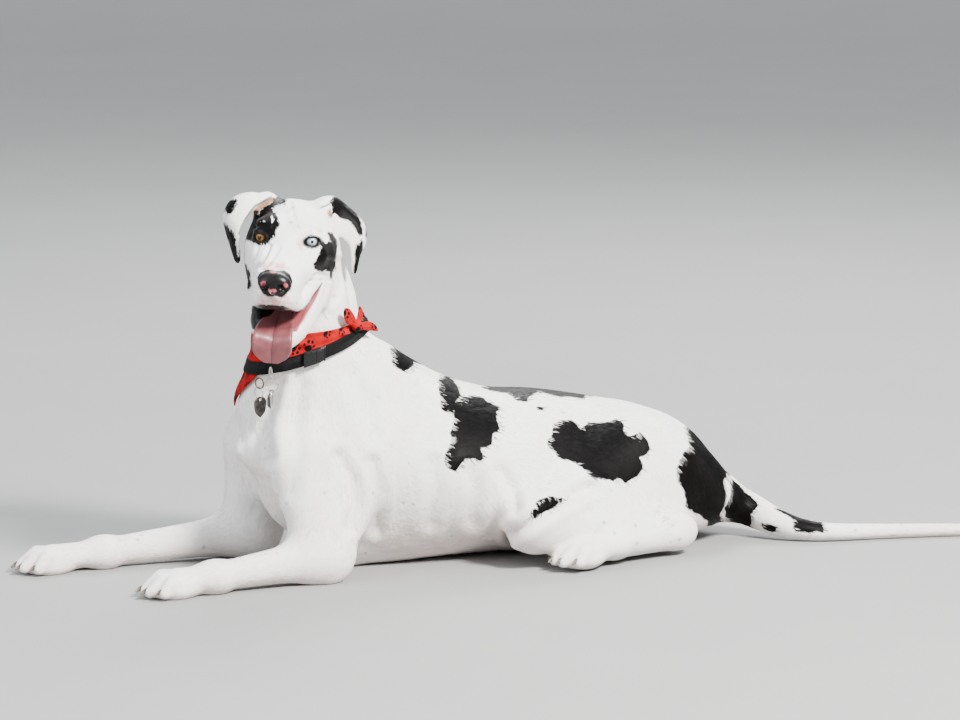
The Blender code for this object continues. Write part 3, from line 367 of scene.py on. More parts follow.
# Where the muscles and the loose skin that run down the neck from the jaw end, on its right and its left
NECK_SIDES = (
    (-1, (-0.036, 0.002, 0.355), (-0.048, -0.004, 0.345)),
    (1, (-0.014, -0.022, 0.355), (-0.022, -0.034, 0.350)),
)


def add_neck(field):
    nape = from_head((-0.048, 0.0, -0.028))
    throat = from_head((0.000, 0.0, -0.055))
    line = [(-0.020, 0, 0.260), (-0.026, -0.008, 0.340), (-0.023, -0.003, 0.415), nape]
    field.join(curved(line, [0.100, 0.077, 0.071, 0.064], 12), 0.04)
    field.join(limb((-0.038, -0.010, 0.300), throat, 0.068, 0.042), 0.04)
    for side, muscle, skin in NECK_SIDES:
        field.join(limb(muscle, from_head((-0.032, side * 0.032, -0.048)), 0.054, 0.029), 0.02)
        field.join(limb(skin, from_head((0.016, side * 0.030, -0.084)), 0.048, 0.024), 0.02)


# Eyes and mouth, in the head's frame
EYE_RADIUS = 0.0125
EYE_PLACE = (0.0505, 0.0365, 0.0065)
EYE_OUTWARD = 18.0

# The slot of the mouth's corner, back to front
MOUTH_CORNER = ((0.060, 0.057, -0.062), (0.090, 0.050, -0.083), (0.120, 0.041, -0.102))
CORNER_RADII = (0.0015, 0.0050, 0.0065)
JAW_OPEN = 18.0
JAW_HINGE = (-0.010, -0.045)

# Upper muzzle: x, bridge, lip edge, half width
MUZZLE = (
    (0.020, 0.014, -0.056, 0.054),
    (0.055, 0.007, -0.062, 0.046),
    (0.090, -0.002, -0.070, 0.0395),
    (0.130, -0.009, -0.076, 0.0370),
    (0.165, -0.014, -0.079, 0.0345),
    (0.183, -0.018, -0.077, 0.0310),
    (0.194, -0.028, -0.070, 0.0240),
)

# The hanging edge of the upper lip on one side, and the edge of the stretched lower lip
FLEW = (
    (0.180, 0.014, -0.064),
    (0.150, 0.0240, -0.072),
    (0.118, 0.0310, -0.080),
    (0.088, 0.0380, -0.068),
    (0.062, 0.0460, -0.054),
)
FLEW_RADII = (0.0130, 0.0130, 0.0120, 0.0100, 0.0080)
LOWER_LIP = (
    (0.050, 0.0520, -0.068),
    (0.086, 0.0480, -0.095),
    (0.116, 0.0380, -0.116),
    (0.138, 0.0240, -0.128),
)
LOWER_LIP_RADII = (0.0110, 0.0100, 0.0085, 0.0080)

# The skin between the lower lip and the jaw, and how wide lips and cheeks are on the head's right and left
JAW_SKIN = (
    (0.030, 0.0450, -0.080),
    (0.074, 0.0400, -0.104),
    (0.108, 0.0300, -0.124),
    (0.132, 0.0180, -0.132),
)
JAW_SKIN_RADII = (0.0220, 0.0170, 0.0130, 0.0100)
LIP_SPREAD = {-1: 0.72, 1: 1.0}
CHEEK_SPREAD = {-1: 0.90, 1: 1.0}


def jaw_turned(x, z):
    """A place on the closed lower jaw, let down about the hinge."""
    angle = math.radians(JAW_OPEN)
    dx, dz = x - JAW_HINGE[0], z - JAW_HINGE[1]
    return (
        JAW_HINGE[0] + dx * math.cos(angle) + dz * math.sin(angle),
        JAW_HINGE[1] + dz * math.cos(angle) - dx * math.sin(angle),
    )


def in_head(action, shape, blend):
    """Joins or carves a shape given in the head's frame."""
    action(placed(shape, head_frame()), blend)


def add_skull(field):
    """The bony head: brain case, forehead, brows, cheeks and cheekbones."""
    join = partial(in_head, field.join)
    join(ball((-0.030, 0, 0.002), (0.070, 0.058, 0.047)), 0.03)
    join(ball((-0.088, 0, 0.000), (0.022, 0.024, 0.026)), 0.03)
    join(ball((0.020, 0, 0.006), (0.046, 0.049, 0.040)), 0.02)
    join(ball((-0.015, 0, -0.045), (0.065, 0.046, 0.045)), 0.03)
    for side in (-1, 1):
        join(ball((0.044, side * 0.029, 0.023), (0.020, 0.020, 0.013)), 0.018)
        wide = CHEEK_SPREAD[side]
        join(ball((-0.014, side * 0.041 * wide, -0.034), (0.054, 0.028, 0.042)), 0.030)
        front, back = (0.046, side * 0.050 * wide, -0.013), (-0.022, side * 0.0585 * wide, -0.012)
        join(limb(front, back, 0.012, 0.010), 0.016)
        # Ear root
        join(ball((-0.046, side * 0.046, 0.036), (0.034, 0.018, 0.022)), 0.02)


def add_muzzle(field):
    join = partial(in_head, field.join)
    join(trunk(MUZZLE, top_pinch=0.22, keel_pinch=0.04, square=3.0), 0.02)
    for side in (-1, 1):
        # Flews
        line = [(x, side * y * (1 + LIP_SPREAD[side]) / 2, z) for x, y, z in FLEW]
        join(curved(line, FLEW_RADII, 8), 0.010)
        # Below the eye
        join(ball((0.062, side * 0.035, -0.028), (0.036, 0.015, 0.020)), 0.02)
    # The stop, and the nose pad
    join(ball((0.050, 0, 0.003), (0.028, 0.024, 0.016)), 0.025)
    join(ball((0.193, 0, -0.0385), (0.0145, 0.0280, 0.0215)), 0.006)


def add_lower_jaw(field):
    join = partial(in_head, field.join)
    chin = jaw_turned(0.156, -0.090)
    front = jaw_turned(0.135, -0.088)
    back = jaw_turned(0.030, -0.078)
    hinge = jaw_turned(-0.010, -0.070)
    for side in (-1, 1):
        line = [
            (hinge[0], side * 0.036, hinge[1]),
            (back[0], side * 0.031, back[1]),
            (front[0], side * 0.018, front[1]),
            (chin[0], 0.0, chin[1]),
        ]
        join(curved(line, [0.026, 0.021, 0.0140, 0.0140], 9), 0.012)
        skin = [(x, side * y * LIP_SPREAD[side], z) for x, y, z in JAW_SKIN]
        join(curved(skin, JAW_SKIN_RADII, 8), 0.020)
        lip = [(x, side * y * LIP_SPREAD[side], z) for x, y, z in LOWER_LIP]
        join(curved(lip, LOWER_LIP_RADII, 8, (0, 1, 0), 0.5), 0.012)
    floor = [(back[0], 0, back[1] - 0.004), (chin[0] - 0.015, 0, chin[1] - 0.003)]
    join(limb(*floor, 0.020, 0.012, (0, 1, 0), 1.5), 0.012)


def carve_face(field):
    carve = partial(in_head, field.carve)
    # Mouth: a wedge from between the lips back to the corners
    front_top, front_low = (0.190, -0.090), jaw_turned(0.170, -0.080)
    middle = ((front_top[0] + front_low[0]) / 2, (front_top[1] + front_low[1]) / 2)
    line = ((0.060, 0, -0.074), (0.110, 0, -0.092), (middle[0] + 0.01, 0, middle[1] + 0.002))
    carve(chain(line, [0.006, 0.012, 0.016], (0, 1, 0), 2.0), 0.004)
    for side in (-1, 1):
        corner = [(x, side * y * LIP_SPREAD[side], z) for x, y, z in MOUTH_CORNER]
        carve(curved(corner, CORNER_RADII, 6, (0, 1, 0), 1.3), 0.003)
        # Nostril and its slit
        carve(ball((0.205, side * 0.0125, -0.040), (0.007, 0.0056, 0.0056)), 0.003)
        carve(limb((0.203, side * 0.0155, -0.042), (0.193, side * 0.0275, -0.048), 0.0032, 0.0018), 0.003)
    carve(limb((0.2095, 0, -0.045), (0.1985, 0, -0.078), 0.0020, 0.0018), 0.003)


def eye_frame(side):
    """An eye's own frame: X where it looks, Y to the head's left, Z up."""
    x, y, z = EYE_PLACE
    turn = Matrix.Rotation(math.radians(side * EYE_OUTWARD), 4, "Z")
    return head_frame() @ Matrix.Translation((x, side * y, z)) @ turn


def add_lids(field):
    for side in (-1, 1):
        frame = eye_frame(side)
        field.join(placed(ball((0.0, 0, 0), (EYE_RADIUS + 0.0028,) * 3), frame), 0.010)
        opening = ball((0.0135, 0, 0.0005), (0.0080, 0.0125, 0.0058))
        field.carve(placed(opening, frame), 0.002)
        field.carve(placed(ball((0, 0, 0), (EYE_RADIUS + 0.0002,) * 3), frame), 0.0005)


# Ear flaps in the head's frame, root to tip: front edge, middle and rear edge of each row
EAR_RIGHT = (
    ((-0.010, -0.042, 0.028), (-0.045, -0.036, 0.044), (-0.080, -0.044, 0.022)),
    ((-0.002, -0.056, 0.036), (-0.035, -0.064, 0.054), (-0.078, -0.074, 0.038)),
    ((0.006, -0.068, 0.026), (-0.022, -0.088, 0.046), (-0.065, -0.100, 0.037)),
    ((0.012, -0.076, 0.010), (-0.010, -0.099, 0.024), (-0.045, -0.109, 0.014)),
    ((0.014, -0.077, -0.008), (-0.002, -0.092, -0.002), (-0.028, -0.101, -0.010)),
    ((0.012, -0.076, -0.028), (0.002, -0.084, -0.026), (-0.014, -0.090, -0.032)),
    ((0.006, -0.0755, -0.046), (0.002, -0.079, -0.049), (-0.003, -0.082, -0.047)),
)
EAR_LEFT = (
    ((-0.010, 0.042, 0.022), (-0.045, 0.036, 0.046), (-0.080, 0.044, 0.020)),
    ((-0.015, 0.056, 0.022), (-0.045, 0.056, 0.056), (-0.084, 0.062, 0.034)),
    ((-0.020, 0.067, 0.006), (-0.048, 0.074, 0.042), (-0.086, 0.079, 0.030)),
    ((-0.024, 0.080, -0.003), (-0.043, 0.096, 0.024), (-0.076, 0.102, 0.014)),
    ((-0.022, 0.089, -0.012), (-0.034, 0.105, 0.001), (-0.058, 0.110, -0.008)),
    ((-0.022, 0.093, -0.031), (-0.027, 0.1005, -0.028), (-0.038, 0.103, -0.029)),
    ((-0.024, 0.097, -0.052), (-0.026, 0.0995, -0.055), (-0.029, 0.1005, -0.053)),
)
EAR_THICK = 0.0062


def smooth_grid(rows, across, along):
    """A grid of places drawn smoothly through a coarse one, along by across."""
    coarse = np.array(rows, float)

    def resample(grid, count):
        at = np.linspace(0, len(grid) - 1, count)
        flat = grid.reshape(len(grid), -1)
        table = np.column_stack([np.arange(len(grid)), flat])
        smooth = np.column_stack([flowing(at, table, k) for k in range(1, table.shape[1])])
        return smooth.reshape(count, *grid.shape[1:])

    grid = resample(coarse, along)
    return resample(grid.transpose(1, 0, 2), across).transpose(1, 0, 2)


def sheet_faces(rows, columns):
    """Quads of a closed flat shell whose two sides are grids of rows by columns."""
    faces = []
    other = rows * columns
    for i in range(rows - 1):
        for j in range(columns - 1):
            a, d = i * columns + j, (i + 1) * columns + j
            b, c = a + 1, d + 1
            faces.append((a, b, c, d))
            faces.append((other + d, other + c, other + b, other + a))
    rim = [(i, 0) for i in range(rows)] + [(rows - 1, j) for j in range(1, columns)]
    rim += [(i, columns - 1) for i in range(rows - 2, -1, -1)] + [(0, j) for j in range(columns - 2, 0, -1)]
    ring = [i * columns + j for i, j in rim]
    for a, b in zip(ring, ring[1:] + ring[:1]):
        faces.append((b, a, other + a, other + b))
    return faces


def thick_sheet(name, grid, thick, edge=0.35):
    """A closed shell about a grid of places, thinner at its rim."""
    rows, columns = grid.shape[:2]
    along, across = np.gradient(grid, axis=0), np.gradient(grid, axis=1)
    normal = np.cross(along, across)
    normal /= np.maximum(np.linalg.norm(normal, axis=-1, keepdims=True), 1e-9)
    i, j = np.meshgrid(np.arange(rows), np.arange(columns), indexing="ij")
    to_rim = np.minimum(np.minimum(j, columns - 1 - j), rows - 1 - i)
    half = normal * np.where(to_rim == 0, edge, 1.0)[..., None] * thick / 2
    places = np.concatenate([(grid - half).reshape(-1, 3), (grid + half).reshape(-1, 3)])
    return solid(name, places, sheet_faces(rows, columns))


def solid(name, places, faces):
    """A new object with its faces turned out."""
    made = bpy.data.meshes.new(name)
    made.from_pydata(np.asarray(places).tolist(), [], [tuple(int(k) for k in f) for f in faces])
    bm = bmesh.new()
    bm.from_mesh(made)
    bmesh.ops.recalc_face_normals(bm, faces=bm.faces)
    bm.to_mesh(made)
    bm.free()
    obj = bpy.data.objects.new(name, made)
    bpy.context.scene.collection.objects.link(obj)
    return obj


def mesh_shape(obj, cell):
    """A closed mesh as a shape for a Field, read from a narrow band of distances. Removes the object."""
    obj.data.calc_loop_triangles()
    points = np.array([v.co for v in obj.data.vertices], np.float32)
    triangles = np.array([t.vertices for t in obj.data.loop_triangles], np.uint32)
    bpy.data.objects.remove(obj)
    band = 6
    low = points.min(0) - band * cell
    counts = np.ceil((points.max(0) + band * cell - low) / cell).astype(int) + 1
    unit_cells = openvdb.createLinearTransform(1.0)
    grid = openvdb.FloatGrid.createLevelSetFromPolygons(
        (points - low) / cell, triangles=triangles, transform=unit_cells, halfWidth=float(band)
    )
    values = np.zeros(counts, np.float32)
    grid.copyToArray(values)
    values *= cell

    def distance(p):
        at = np.clip((p - low) / cell, 0, counts - 1.001)
        base = at.astype(int)
        t = at - base
        total = 0
        for corner in np.ndindex(2, 2, 2):
            weight = np.prod(np.where(corner, t, 1 - t), axis=-1)
            total = total + weight * values[tuple((base + corner)[..., k] for k in range(3))]
        return total

    return distance, low, low + counts * cell


def add_ears(field, cell):
    for rows in (EAR_RIGHT, EAR_LEFT):
        places = smooth_grid(rows, 13, 25)
        flap = thick_sheet("flap", from_head(places.reshape(-1, 3)).reshape(places.shape), EAR_THICK)
        field.join(mesh_shape(flap, cell), 0.006)


TAIL = (
    (0.645, 0.000, 0.078),
    (0.710, -0.046, 0.046),
    (0.741, -0.096, 0.028),
    (0.772, -0.126, 0.0190),
    (0.815, -0.146, 0.0150),
    (0.895, -0.162, 0.0128),
    (1.019, -0.192, 0.0108),
    (1.120, -0.236, 0.0086),
    (1.195, -0.300, 0.0063),
)
TAIL_RADII = (0.038, 0.0290, 0.0230, 0.0185, 0.0155, 0.0130, 0.0110, 0.0088, 0.0065)


def add_tail(field):
    field.join(curved(TAIL, TAIL_RADII, 28), 0.03)


# Elbow, wrist and toes of each foreleg, and the half widths of the paws
LEFT_FORELEG = ((-0.058, -0.124, 0.038), (-0.236, -0.134, 0.0240), (-0.356, -0.134, 0.020))
RIGHT_FORELEG = ((-0.080, 0.120, 0.038), (-0.322, 0.122, 0.0240), (-0.466, 0.124, 0.020))
FORE_PAW_HALF, HIND_PAW_HALF = 0.042, 0.040


def add_body(field):
    add_trunk(field)
    add_neck(field)
    add_foreleg(field, -1, *LEFT_FORELEG)
    add_foreleg(field, 1, *RIGHT_FORELEG)
    for side in (-1, 1):
        add_hindleg(field, side)
    add_tail(field)


def evaluated(obj):
    """Bakes the modifiers of an object into its mesh."""
    bpy.context.view_layer.update()
    graph = bpy.context.evaluated_depsgraph_get()
    baked = bpy.data.meshes.new_from_object(obj.evaluated_get(graph))
    obj.modifiers.clear()
    obj.data = baked


CLAW_OUT, CLAW_LONG, CLAW_RADIUS, CLAW_SIDES = 0.005, 0.0105, 0.0036, 8


def tube(rings, name, closed=False):
    """A closed solid through rings of places, with flat ends unless it is closed on itself."""
    rings = np.array(rings)
    count, sides = rings.shape[:2]
    faces = []
    for i in range(count if closed else count - 1):
        for j in range(sides):
            k, n = (j + 1) % sides, (i + 1) % count
            faces.append((i * sides + j, i * sides + k, n * sides + k, n * sides + j))
    if not closed:
        faces.append(tuple(range(sides)))
        faces.append(tuple(range((count - 1) * sides, count * sides)))
    return solid(name, rings.reshape(-1, 3), faces)


# The tongue in the head's frame, root to tip: x, z, half width
TONGUE = (
    (0.060, -0.097, 0.017),
    (0.095, -0.108, 0.022),
    (0.128, -0.1155, 0.027),
    (0.150, -0.1180, 0.0285),
    (0.1635, -0.1250, 0.0295),
    (0.167, -0.136, 0.0305),
    (0.164, -0.149, 0.0295),
    (0.161, -0.159, 0.0220),
    (0.159, -0.165, 0.0100),
)
TONGUE_THICK, TONGUE_GROOVE = 0.0075, 0.0030

# The neckwear goes round this upright line; angles run from the tail side towards the dog's right
NECK_LINE = (-0.032, 0.0)
REACH = 0.175
COLLAR_HEIGHT, COLLAR_SLOPE = 0.3562, 0.0340
COLLAR_WIDE, COLLAR_THICK, COLLAR_CLEAR = 0.020, 0.0028, 0.0062
BUCKLE_ANGLES, BUCKLE_WIDE, BUCKLE_THICK = (247.0, 265.0), 0.0245, 0.0055
SCARF_TOP, SCARF_THICK, SCARF_CLEAR = 0.3865, 0.0022, 0.0024
SCARF_TIP_ANGLE, SCARF_TIP_SPREAD, SCARF_TIP_DROP = 146.0, 58.0, 0.074


def collar_height(angle):
    return COLLAR_HEIGHT + COLLAR_SLOPE * math.cos(angle)


def scarf_heights(angle):
    """The lower and the upper edge of the bandana."""
    turned = abs((math.degrees(angle) - SCARF_TIP_ANGLE + 180) % 360 - 180)
    drop = SCARF_TIP_DROP * max(0.0, 1 - turned / SCARF_TIP_SPREAD)
    return collar_height(angle) - 0.004 - drop, SCARF_TOP + 0.009 * math.cos(angle)


def around_neck(tree, angle, height):
    """How far the neck stands out from its line."""
    centre = Vector((*NECK_LINE, height))
    way = Vector((math.cos(angle), math.sin(angle), 0))
    found = tree.ray_cast(centre + way * REACH, -way)
    return REACH - found[3]


KNOT_PLACE = (0.0185, -0.0880, 0.3895)
KNOT_RADII = (0.0095, 0.0090, 0.0100)
KNOT_FACE, KNOT_FLAT = (0.3, -0.9, 0), 0.42

# Two loops that stand up from the knot and one end that hangs back: places from the knot, and half widths
KNOT_ENDS = (
    (
        ((-0.004, -0.001, 0.004), (-0.012, -0.004, 0.011), (-0.018, -0.007, 0.020), (-0.021, -0.008, 0.026)),
        (0.0050, 0.0095, 0.0085, 0.0045),
    ),
    (
        ((0.003, 0.001, 0.005), (0.007, 0.004, 0.014), (0.009, 0.007, 0.021), (0.009, 0.009, 0.026)),
        (0.0045, 0.0060, 0.0050, 0.0030),
    ),
    (
        ((0.008, 0.001, -0.002), (0.022, 0.009, -0.003), (0.034, 0.016, -0.007), (0.042, 0.020, -0.012)),
        (0.0055, 0.0075, 0.0060, 0.0030),
    ),
)

# Rings and tags in front of the chest: angle about the neck's line, distance from it and height
HOOK, HOOK_HALVES, HOOK_WIRE = (221.0, 0.1165, 0.3225), (0.0040, 0.0095), 0.0012
RING_A, RING_A_RADIUS = (222.0, 0.1165, 0.3050), 0.0105
D_RING, D_RING_RADIUS = (207.5, 0.1080, 0.3035), 0.0080
RING_B, RING_B_RADIUS, RING_B_TWIST = (208.5, 0.1120, 0.2895), 0.0092, -8.0
RING_WIRE, D_WIRE = 0.0009, 0.0012
TAG_THICK, TAG_HOLE = 0.0014, 0.0026
TAG_SWING, TAG_LEAN, TAG_DARK_SWING = (10.0, -14.0), 0.4, 18.0

# Outlines of the tags from their holes: to the side and up
SHIELD = ((0.0, 0.0045), (0.007, 0.003), (0.012, -0.003), (0.0115, -0.014), (0.008, -0.022), (0.0, -0.028))
DISC = (
    (0.0, 0.0045),
    (0.005, 0.002),
    (0.009, -0.004),
    (0.0105, -0.012),
    (0.009, -0.020),
    (0.005, -0.0245),
    (0.0, -0.026),
)


def hung(place, twist=0.0):
    """Middle, outward and sideways directions at a place in front of the chest."""
    angle, out, height = math.radians(place[0]), place[1], place[2]
    way = np.array((math.cos(angle), math.sin(angle), 0))
    turned = angle + math.radians(twist)
    face = np.array((math.cos(turned), math.sin(turned), 0))
    return np.array((*NECK_LINE, height)) + way * out, face, np.cross((0, 0, 1), face)


def wire_ring(name, middle, across, halves, wire, count=16, sides=5):
    """A ring of wire in the plane of one level direction and the upright."""
    normal = np.cross(across, (0, 0, 1))
    rings = []
    turns = 2 * np.pi * np.arange(sides) / sides
    for t in 2 * np.pi * np.arange(count) / count:
        out = unit(across * math.cos(t) * halves[1] + np.array((0, 0, math.sin(t) * halves[0])))
        centre = middle + across * math.cos(t) * halves[0] + (0, 0, math.sin(t) * halves[1])
        rings.append([centre + wire * (out * math.cos(k) + normal * math.sin(k)) for k in turns])
    return tube(rings, name, True)

# The plane under the collar where the fine skin of the head meets the coarser skin of the body
SEAM_PLACE, SEAM_NORMAL, SEAM_HALF = (-0.032, 0.0, 0.352), (-0.28, 0.0, 1.0), 0.0022


def body_field(cell):
    field = Field((-0.54, -0.50, -0.02), (1.27, 0.26, 0.44), cell)
    add_body(field)
    field.values += COAT_DEPTH
    return field


def head_field(cell):
    field = Field((-0.27, -0.29, 0.305), (0.13, 0.13, 0.61), cell)
    add_trunk(field)
    add_neck(field)
    add_skull(field)
    add_muzzle(field)
    add_lower_jaw(field)
    field.values += FACE_DEPTH
    carve_face(field)
    add_lids(field)
    add_ears(field, cell)
    return field


def cut_open(bm, place, normal, fill):
    """Keeps what lies on the normal's side of a plane, and closes the cut where fill says so."""
    made = bmesh.ops.bisect_plane(
        bm, geom=bm.verts[:] + bm.edges[:] + bm.faces[:], plane_co=place, plane_no=normal, clear_inner=True
    )
    edges = [e for e in made["geom_cut"] if isinstance(e, bmesh.types.BMEdge)]
    if fill:
        bmesh.ops.holes_fill(bm, edges=edges, sides=0)


def largest_body(bm):
    """Removes every loose body of a mesh but the one with the most points."""
    left, bodies = set(bm.verts), []
    while left:
        found, edge = set(), {left.pop()}
        while edge:
            found |= edge
            edge = {e.other_vert(v) for v in edge for e in v.link_edges} - found
        left -= found
        bodies.append(found)
    bodies.sort(key=len)
    bmesh.ops.delete(bm, geom=[v for body in bodies[:-1] for v in body], context="VERTS")


def make_skin():
    """One skin for the whole dog: the body's grid and the head's finer one, bridged under the collar."""
    normal = unit(SEAM_NORMAL)
    parts = []
    for field, side in ((body_field(BODY_CELL), -1), (head_field(HEAD_CELL), 1)):
        obj = field.mesh("part")
        bm = bmesh.new()
        bm.from_mesh(obj.data)
        cut_open(bm, Vector(SEAM_PLACE) + Vector(normal * side * SEAM_HALF), normal * side, False)
        if side < 0:
            cut_open(bm, (0, 0, 0), (0, 0, 1), True)
        largest_body(bm)
        bm.to_mesh(obj.data)
        bm.free()
        parts.append(obj)
    bm = bmesh.new()
    for obj in parts:
        bm.from_mesh(obj.data)
        bpy.data.objects.remove(obj)
    rim = [e for e in bm.edges if e.is_boundary]
    bmesh.ops.bridge_loops(bm, edges=rim)
    bmesh.ops.recalc_face_normals(bm, faces=bm.faces)
    made = bpy.data.meshes.new("skin")
    bm.to_mesh(made)
    bm.free()
    skin = bpy.data.objects.new("skin", made)
    bpy.context.scene.collection.objects.link(skin)
    for face in made.polygons:
        face.use_smooth = True
    return skin


def points_of(mesh):
    found = np.empty(len(mesh.vertices) * 3, np.float32)
    mesh.vertices.foreach_get("co", found)
    return found.reshape(-1, 3)


def normals_of(mesh):
    found = np.empty(len(mesh.vertices) * 3, np.float32)
    mesh.vertices.foreach_get("normal", found)
    return found.reshape(-1, 3)


def put_value(mesh, name, values):
    """Stores one number or one vector for each point of a mesh."""
    values = np.asarray(values, np.float32)
    kind = "FLOAT" if values.ndim == 1 else "FLOAT_VECTOR"
    layer = mesh.attributes.new(name, kind, "POINT")
    layer.data.foreach_set("value" if values.ndim == 1 else "vector", values.ravel())


# Camera: turned left of the dog's side, above the ground, far off. The origin's place is in the picture's pixels
CAMERA_TURN, CAMERA_RISE, CAMERA_FAR = math.radians(24.0), math.radians(9.0), 8.5
PIXELS_PER_METRE = 640.0
WIDTH_PX, HEIGHT_PX = 960, 720
ORIGIN_PX = (325.0, 565.0)
BACK = np.array(
    (
        -math.sin(CAMERA_TURN) * math.cos(CAMERA_RISE),
        -math.cos(CAMERA_TURN) * math.cos(CAMERA_RISE),
        math.sin(CAMERA_RISE),
    )
)
RIGHT = np.array((math.cos(CAMERA_TURN), -math.sin(CAMERA_TURN), 0.0))
UP = np.cross(RIGHT, -BACK)
FOCUS_PX = PIXELS_PER_METRE * CAMERA_FAR
OFF_AXIS = ((ORIGIN_PX[0] - WIDTH_PX / 2) / PIXELS_PER_METRE, (HEIGHT_PX / 2 - ORIGIN_PX[1]) / PIXELS_PER_METRE)
EYE_POINT = BACK * CAMERA_FAR - RIGHT * OFF_AXIS[0] - UP * OFF_AXIS[1]


def make_camera():
    lens = bpy.data.cameras.new("camera")
    camera = bpy.data.objects.new("camera", lens)
    bpy.context.scene.collection.objects.link(camera)
    turn = Matrix((RIGHT, UP, BACK)).transposed().to_4x4()
    turn.translation = EYE_POINT
    camera.matrix_world = turn
    lens.sensor_width = 36.0
    lens.lens = lens.sensor_width * FOCUS_PX / WIDTH_PX
    lens.clip_end = 100.0
    bpy.context.scene.camera = camera


def in_picture(points):
    """Where points fall in the picture, in pixels from its upper left corner."""
    away = points - EYE_POINT
    deep = -(away @ BACK)
    return np.column_stack(
        [WIDTH_PX / 2 + FOCUS_PX * (away @ RIGHT) / deep, HEIGHT_PX / 2 - FOCUS_PX * (away @ UP) / deep]
    )


def from_picture(tree, u, v):
    """The first place on a surface that a pixel sees."""
    way = RIGHT * (u - WIDTH_PX / 2) / FOCUS_PX - UP * (v - HEIGHT_PX / 2) / FOCUS_PX - BACK
    found = tree.ray_cast(Vector(EYE_POINT), Vector(way))
    return None if found[0] is None else np.array(found[0])


# Black patches on the side that the camera sees: outlines in the picture's pixels
NEAR_PATCHES = (
    ((389, 340), (391, 354), (391, 361), (396, 368), (404, 372), (411, 368), (415, 363), (421, 360), (420, 345)),
    (
        (438, 382), (440, 374), (449, 374), (456, 385), (459, 391), (459, 397), (456, 400), (457, 407),
        (451, 412), (448, 408), (445, 411), (441, 409), (439, 393),
    ),
    (
        (457, 402), (466, 396), (472, 394), (479, 396), (485, 400), (490, 402), (500, 407), (497, 412), (498, 421),
        (500, 430), (493, 434), (491, 445), (481, 449), (481, 459), (472, 458), (465, 460), (455, 470), (446, 467),
        (446, 455), (451, 440), (452, 420), (455, 409),
    ),
    (
        (480, 378), (481, 389), (495, 392), (505, 392), (516, 400), (528, 403), (529, 398), (537, 391), (556, 396),
        (580, 398), (600, 393), (600, 378),
    ),
    ((537, 407), (543, 408), (543, 412), (538, 411)),
    (
        (554, 423), (560, 420), (571, 421), (581, 428), (588, 421), (600, 423), (608, 422), (616, 418), (622, 421),
        (624, 428), (629, 435), (639, 432), (644, 437), (651, 447), (650, 452), (639, 457), (643, 468), (640, 473),
        (626, 483), (619, 479), (612, 481), (598, 478), (588, 475), (580, 467), (570, 460), (561, 459), (549, 450),
        (548, 444), (552, 434),
    ),
    ((576, 475), (580, 476), (579, 479), (577, 478)),
    ((521, 524), (530, 516), (531, 510), (537, 507), (536, 502), (548, 497), (568, 498), (552, 508), (535, 518)),
    (
        (682, 420), (687, 433), (689, 441), (688, 448), (680, 460), (677, 470), (678, 482), (684, 491), (687, 508),
        (700, 516), (707, 521), (709, 540), (719, 540), (721, 512), (725, 503), (726, 493), (724, 481), (728, 470),
        (705, 420),
    ),
    (
        (730, 478), (730, 492), (728, 502), (724, 512), (730, 530), (752, 530), (752, 517), (757, 507), (752, 498),
        (744, 488),
    ),
    ((772, 508), (782, 513), (792, 519), (796, 532), (824, 532), (822, 521), (805, 512), (785, 505)),
    ((762, 523), (770, 523), (777, 528), (772, 533), (764, 529)),
)  # fmt: skip
# Patches of the head that the camera sees, and the white spots inside them
FACE_PATCHES = (
    (
        (244, 233), (247, 224), (252, 218), (258, 212), (264, 207), (271, 203), (277, 197), (282, 194), (287, 198),
        (285, 204), (278, 206), (272, 208), (274, 212), (277, 216), (279, 222), (278, 229), (275, 236), (271, 242),
        (266, 245), (260, 246), (255, 243), (250, 241), (246, 240),
    ),
    (
        (327, 233), (330, 232), (333, 233), (335, 237), (337, 243), (337, 252), (336, 262), (336, 268), (333, 272),
        (331, 281), (329, 272), (326, 270), (323, 272), (318, 271), (314, 269), (313, 266), (314, 262), (317, 257),
        (320, 252), (321, 247), (319, 244), (315, 241), (318, 239), (323, 241), (326, 243), (329, 242), (329, 238),
    ),
    ((242, 260), (247, 265), (250, 273), (252, 285), (250, 290), (245, 287), (242, 274)),
)  # fmt: skip
FACE_WHITES = (
    ((270, 216), (272, 216), (274, 219), (272, 222), (272, 219)),
    ((262, 222), (264, 221), (265, 222)),
)
# Patches of the hidden side: balls by their middle and radius, where they meet the skin
FAR_PATCHES = (
    ((0.060, 0.110, 0.270), 0.060),
    ((0.110, 0.135, 0.220), 0.050),
    ((0.020, 0.130, 0.180), 0.036),
    ((0.300, 0.120, 0.215), 0.048),
    ((0.350, 0.130, 0.160), 0.060),
    ((0.400, 0.135, 0.100), 0.036),
    ((0.545, 0.090, 0.200), 0.040),
    ((0.585, 0.110, 0.130), 0.052),
    ((0.500, 0.190, 0.070), 0.040),
    ((0.180, 0.060, 0.285), 0.026),
    ((0.330, 0.000, 0.262), 0.030),
    ((0.290, 0.020, 0.268), 0.030),
    ((0.655, 0.040, 0.140), 0.050),
    ((-0.060, 0.150, 0.120), 0.034),
    ((-0.250, 0.165, 0.060), 0.020),
    ((0.018, 0.060, 0.360), 0.030),
)


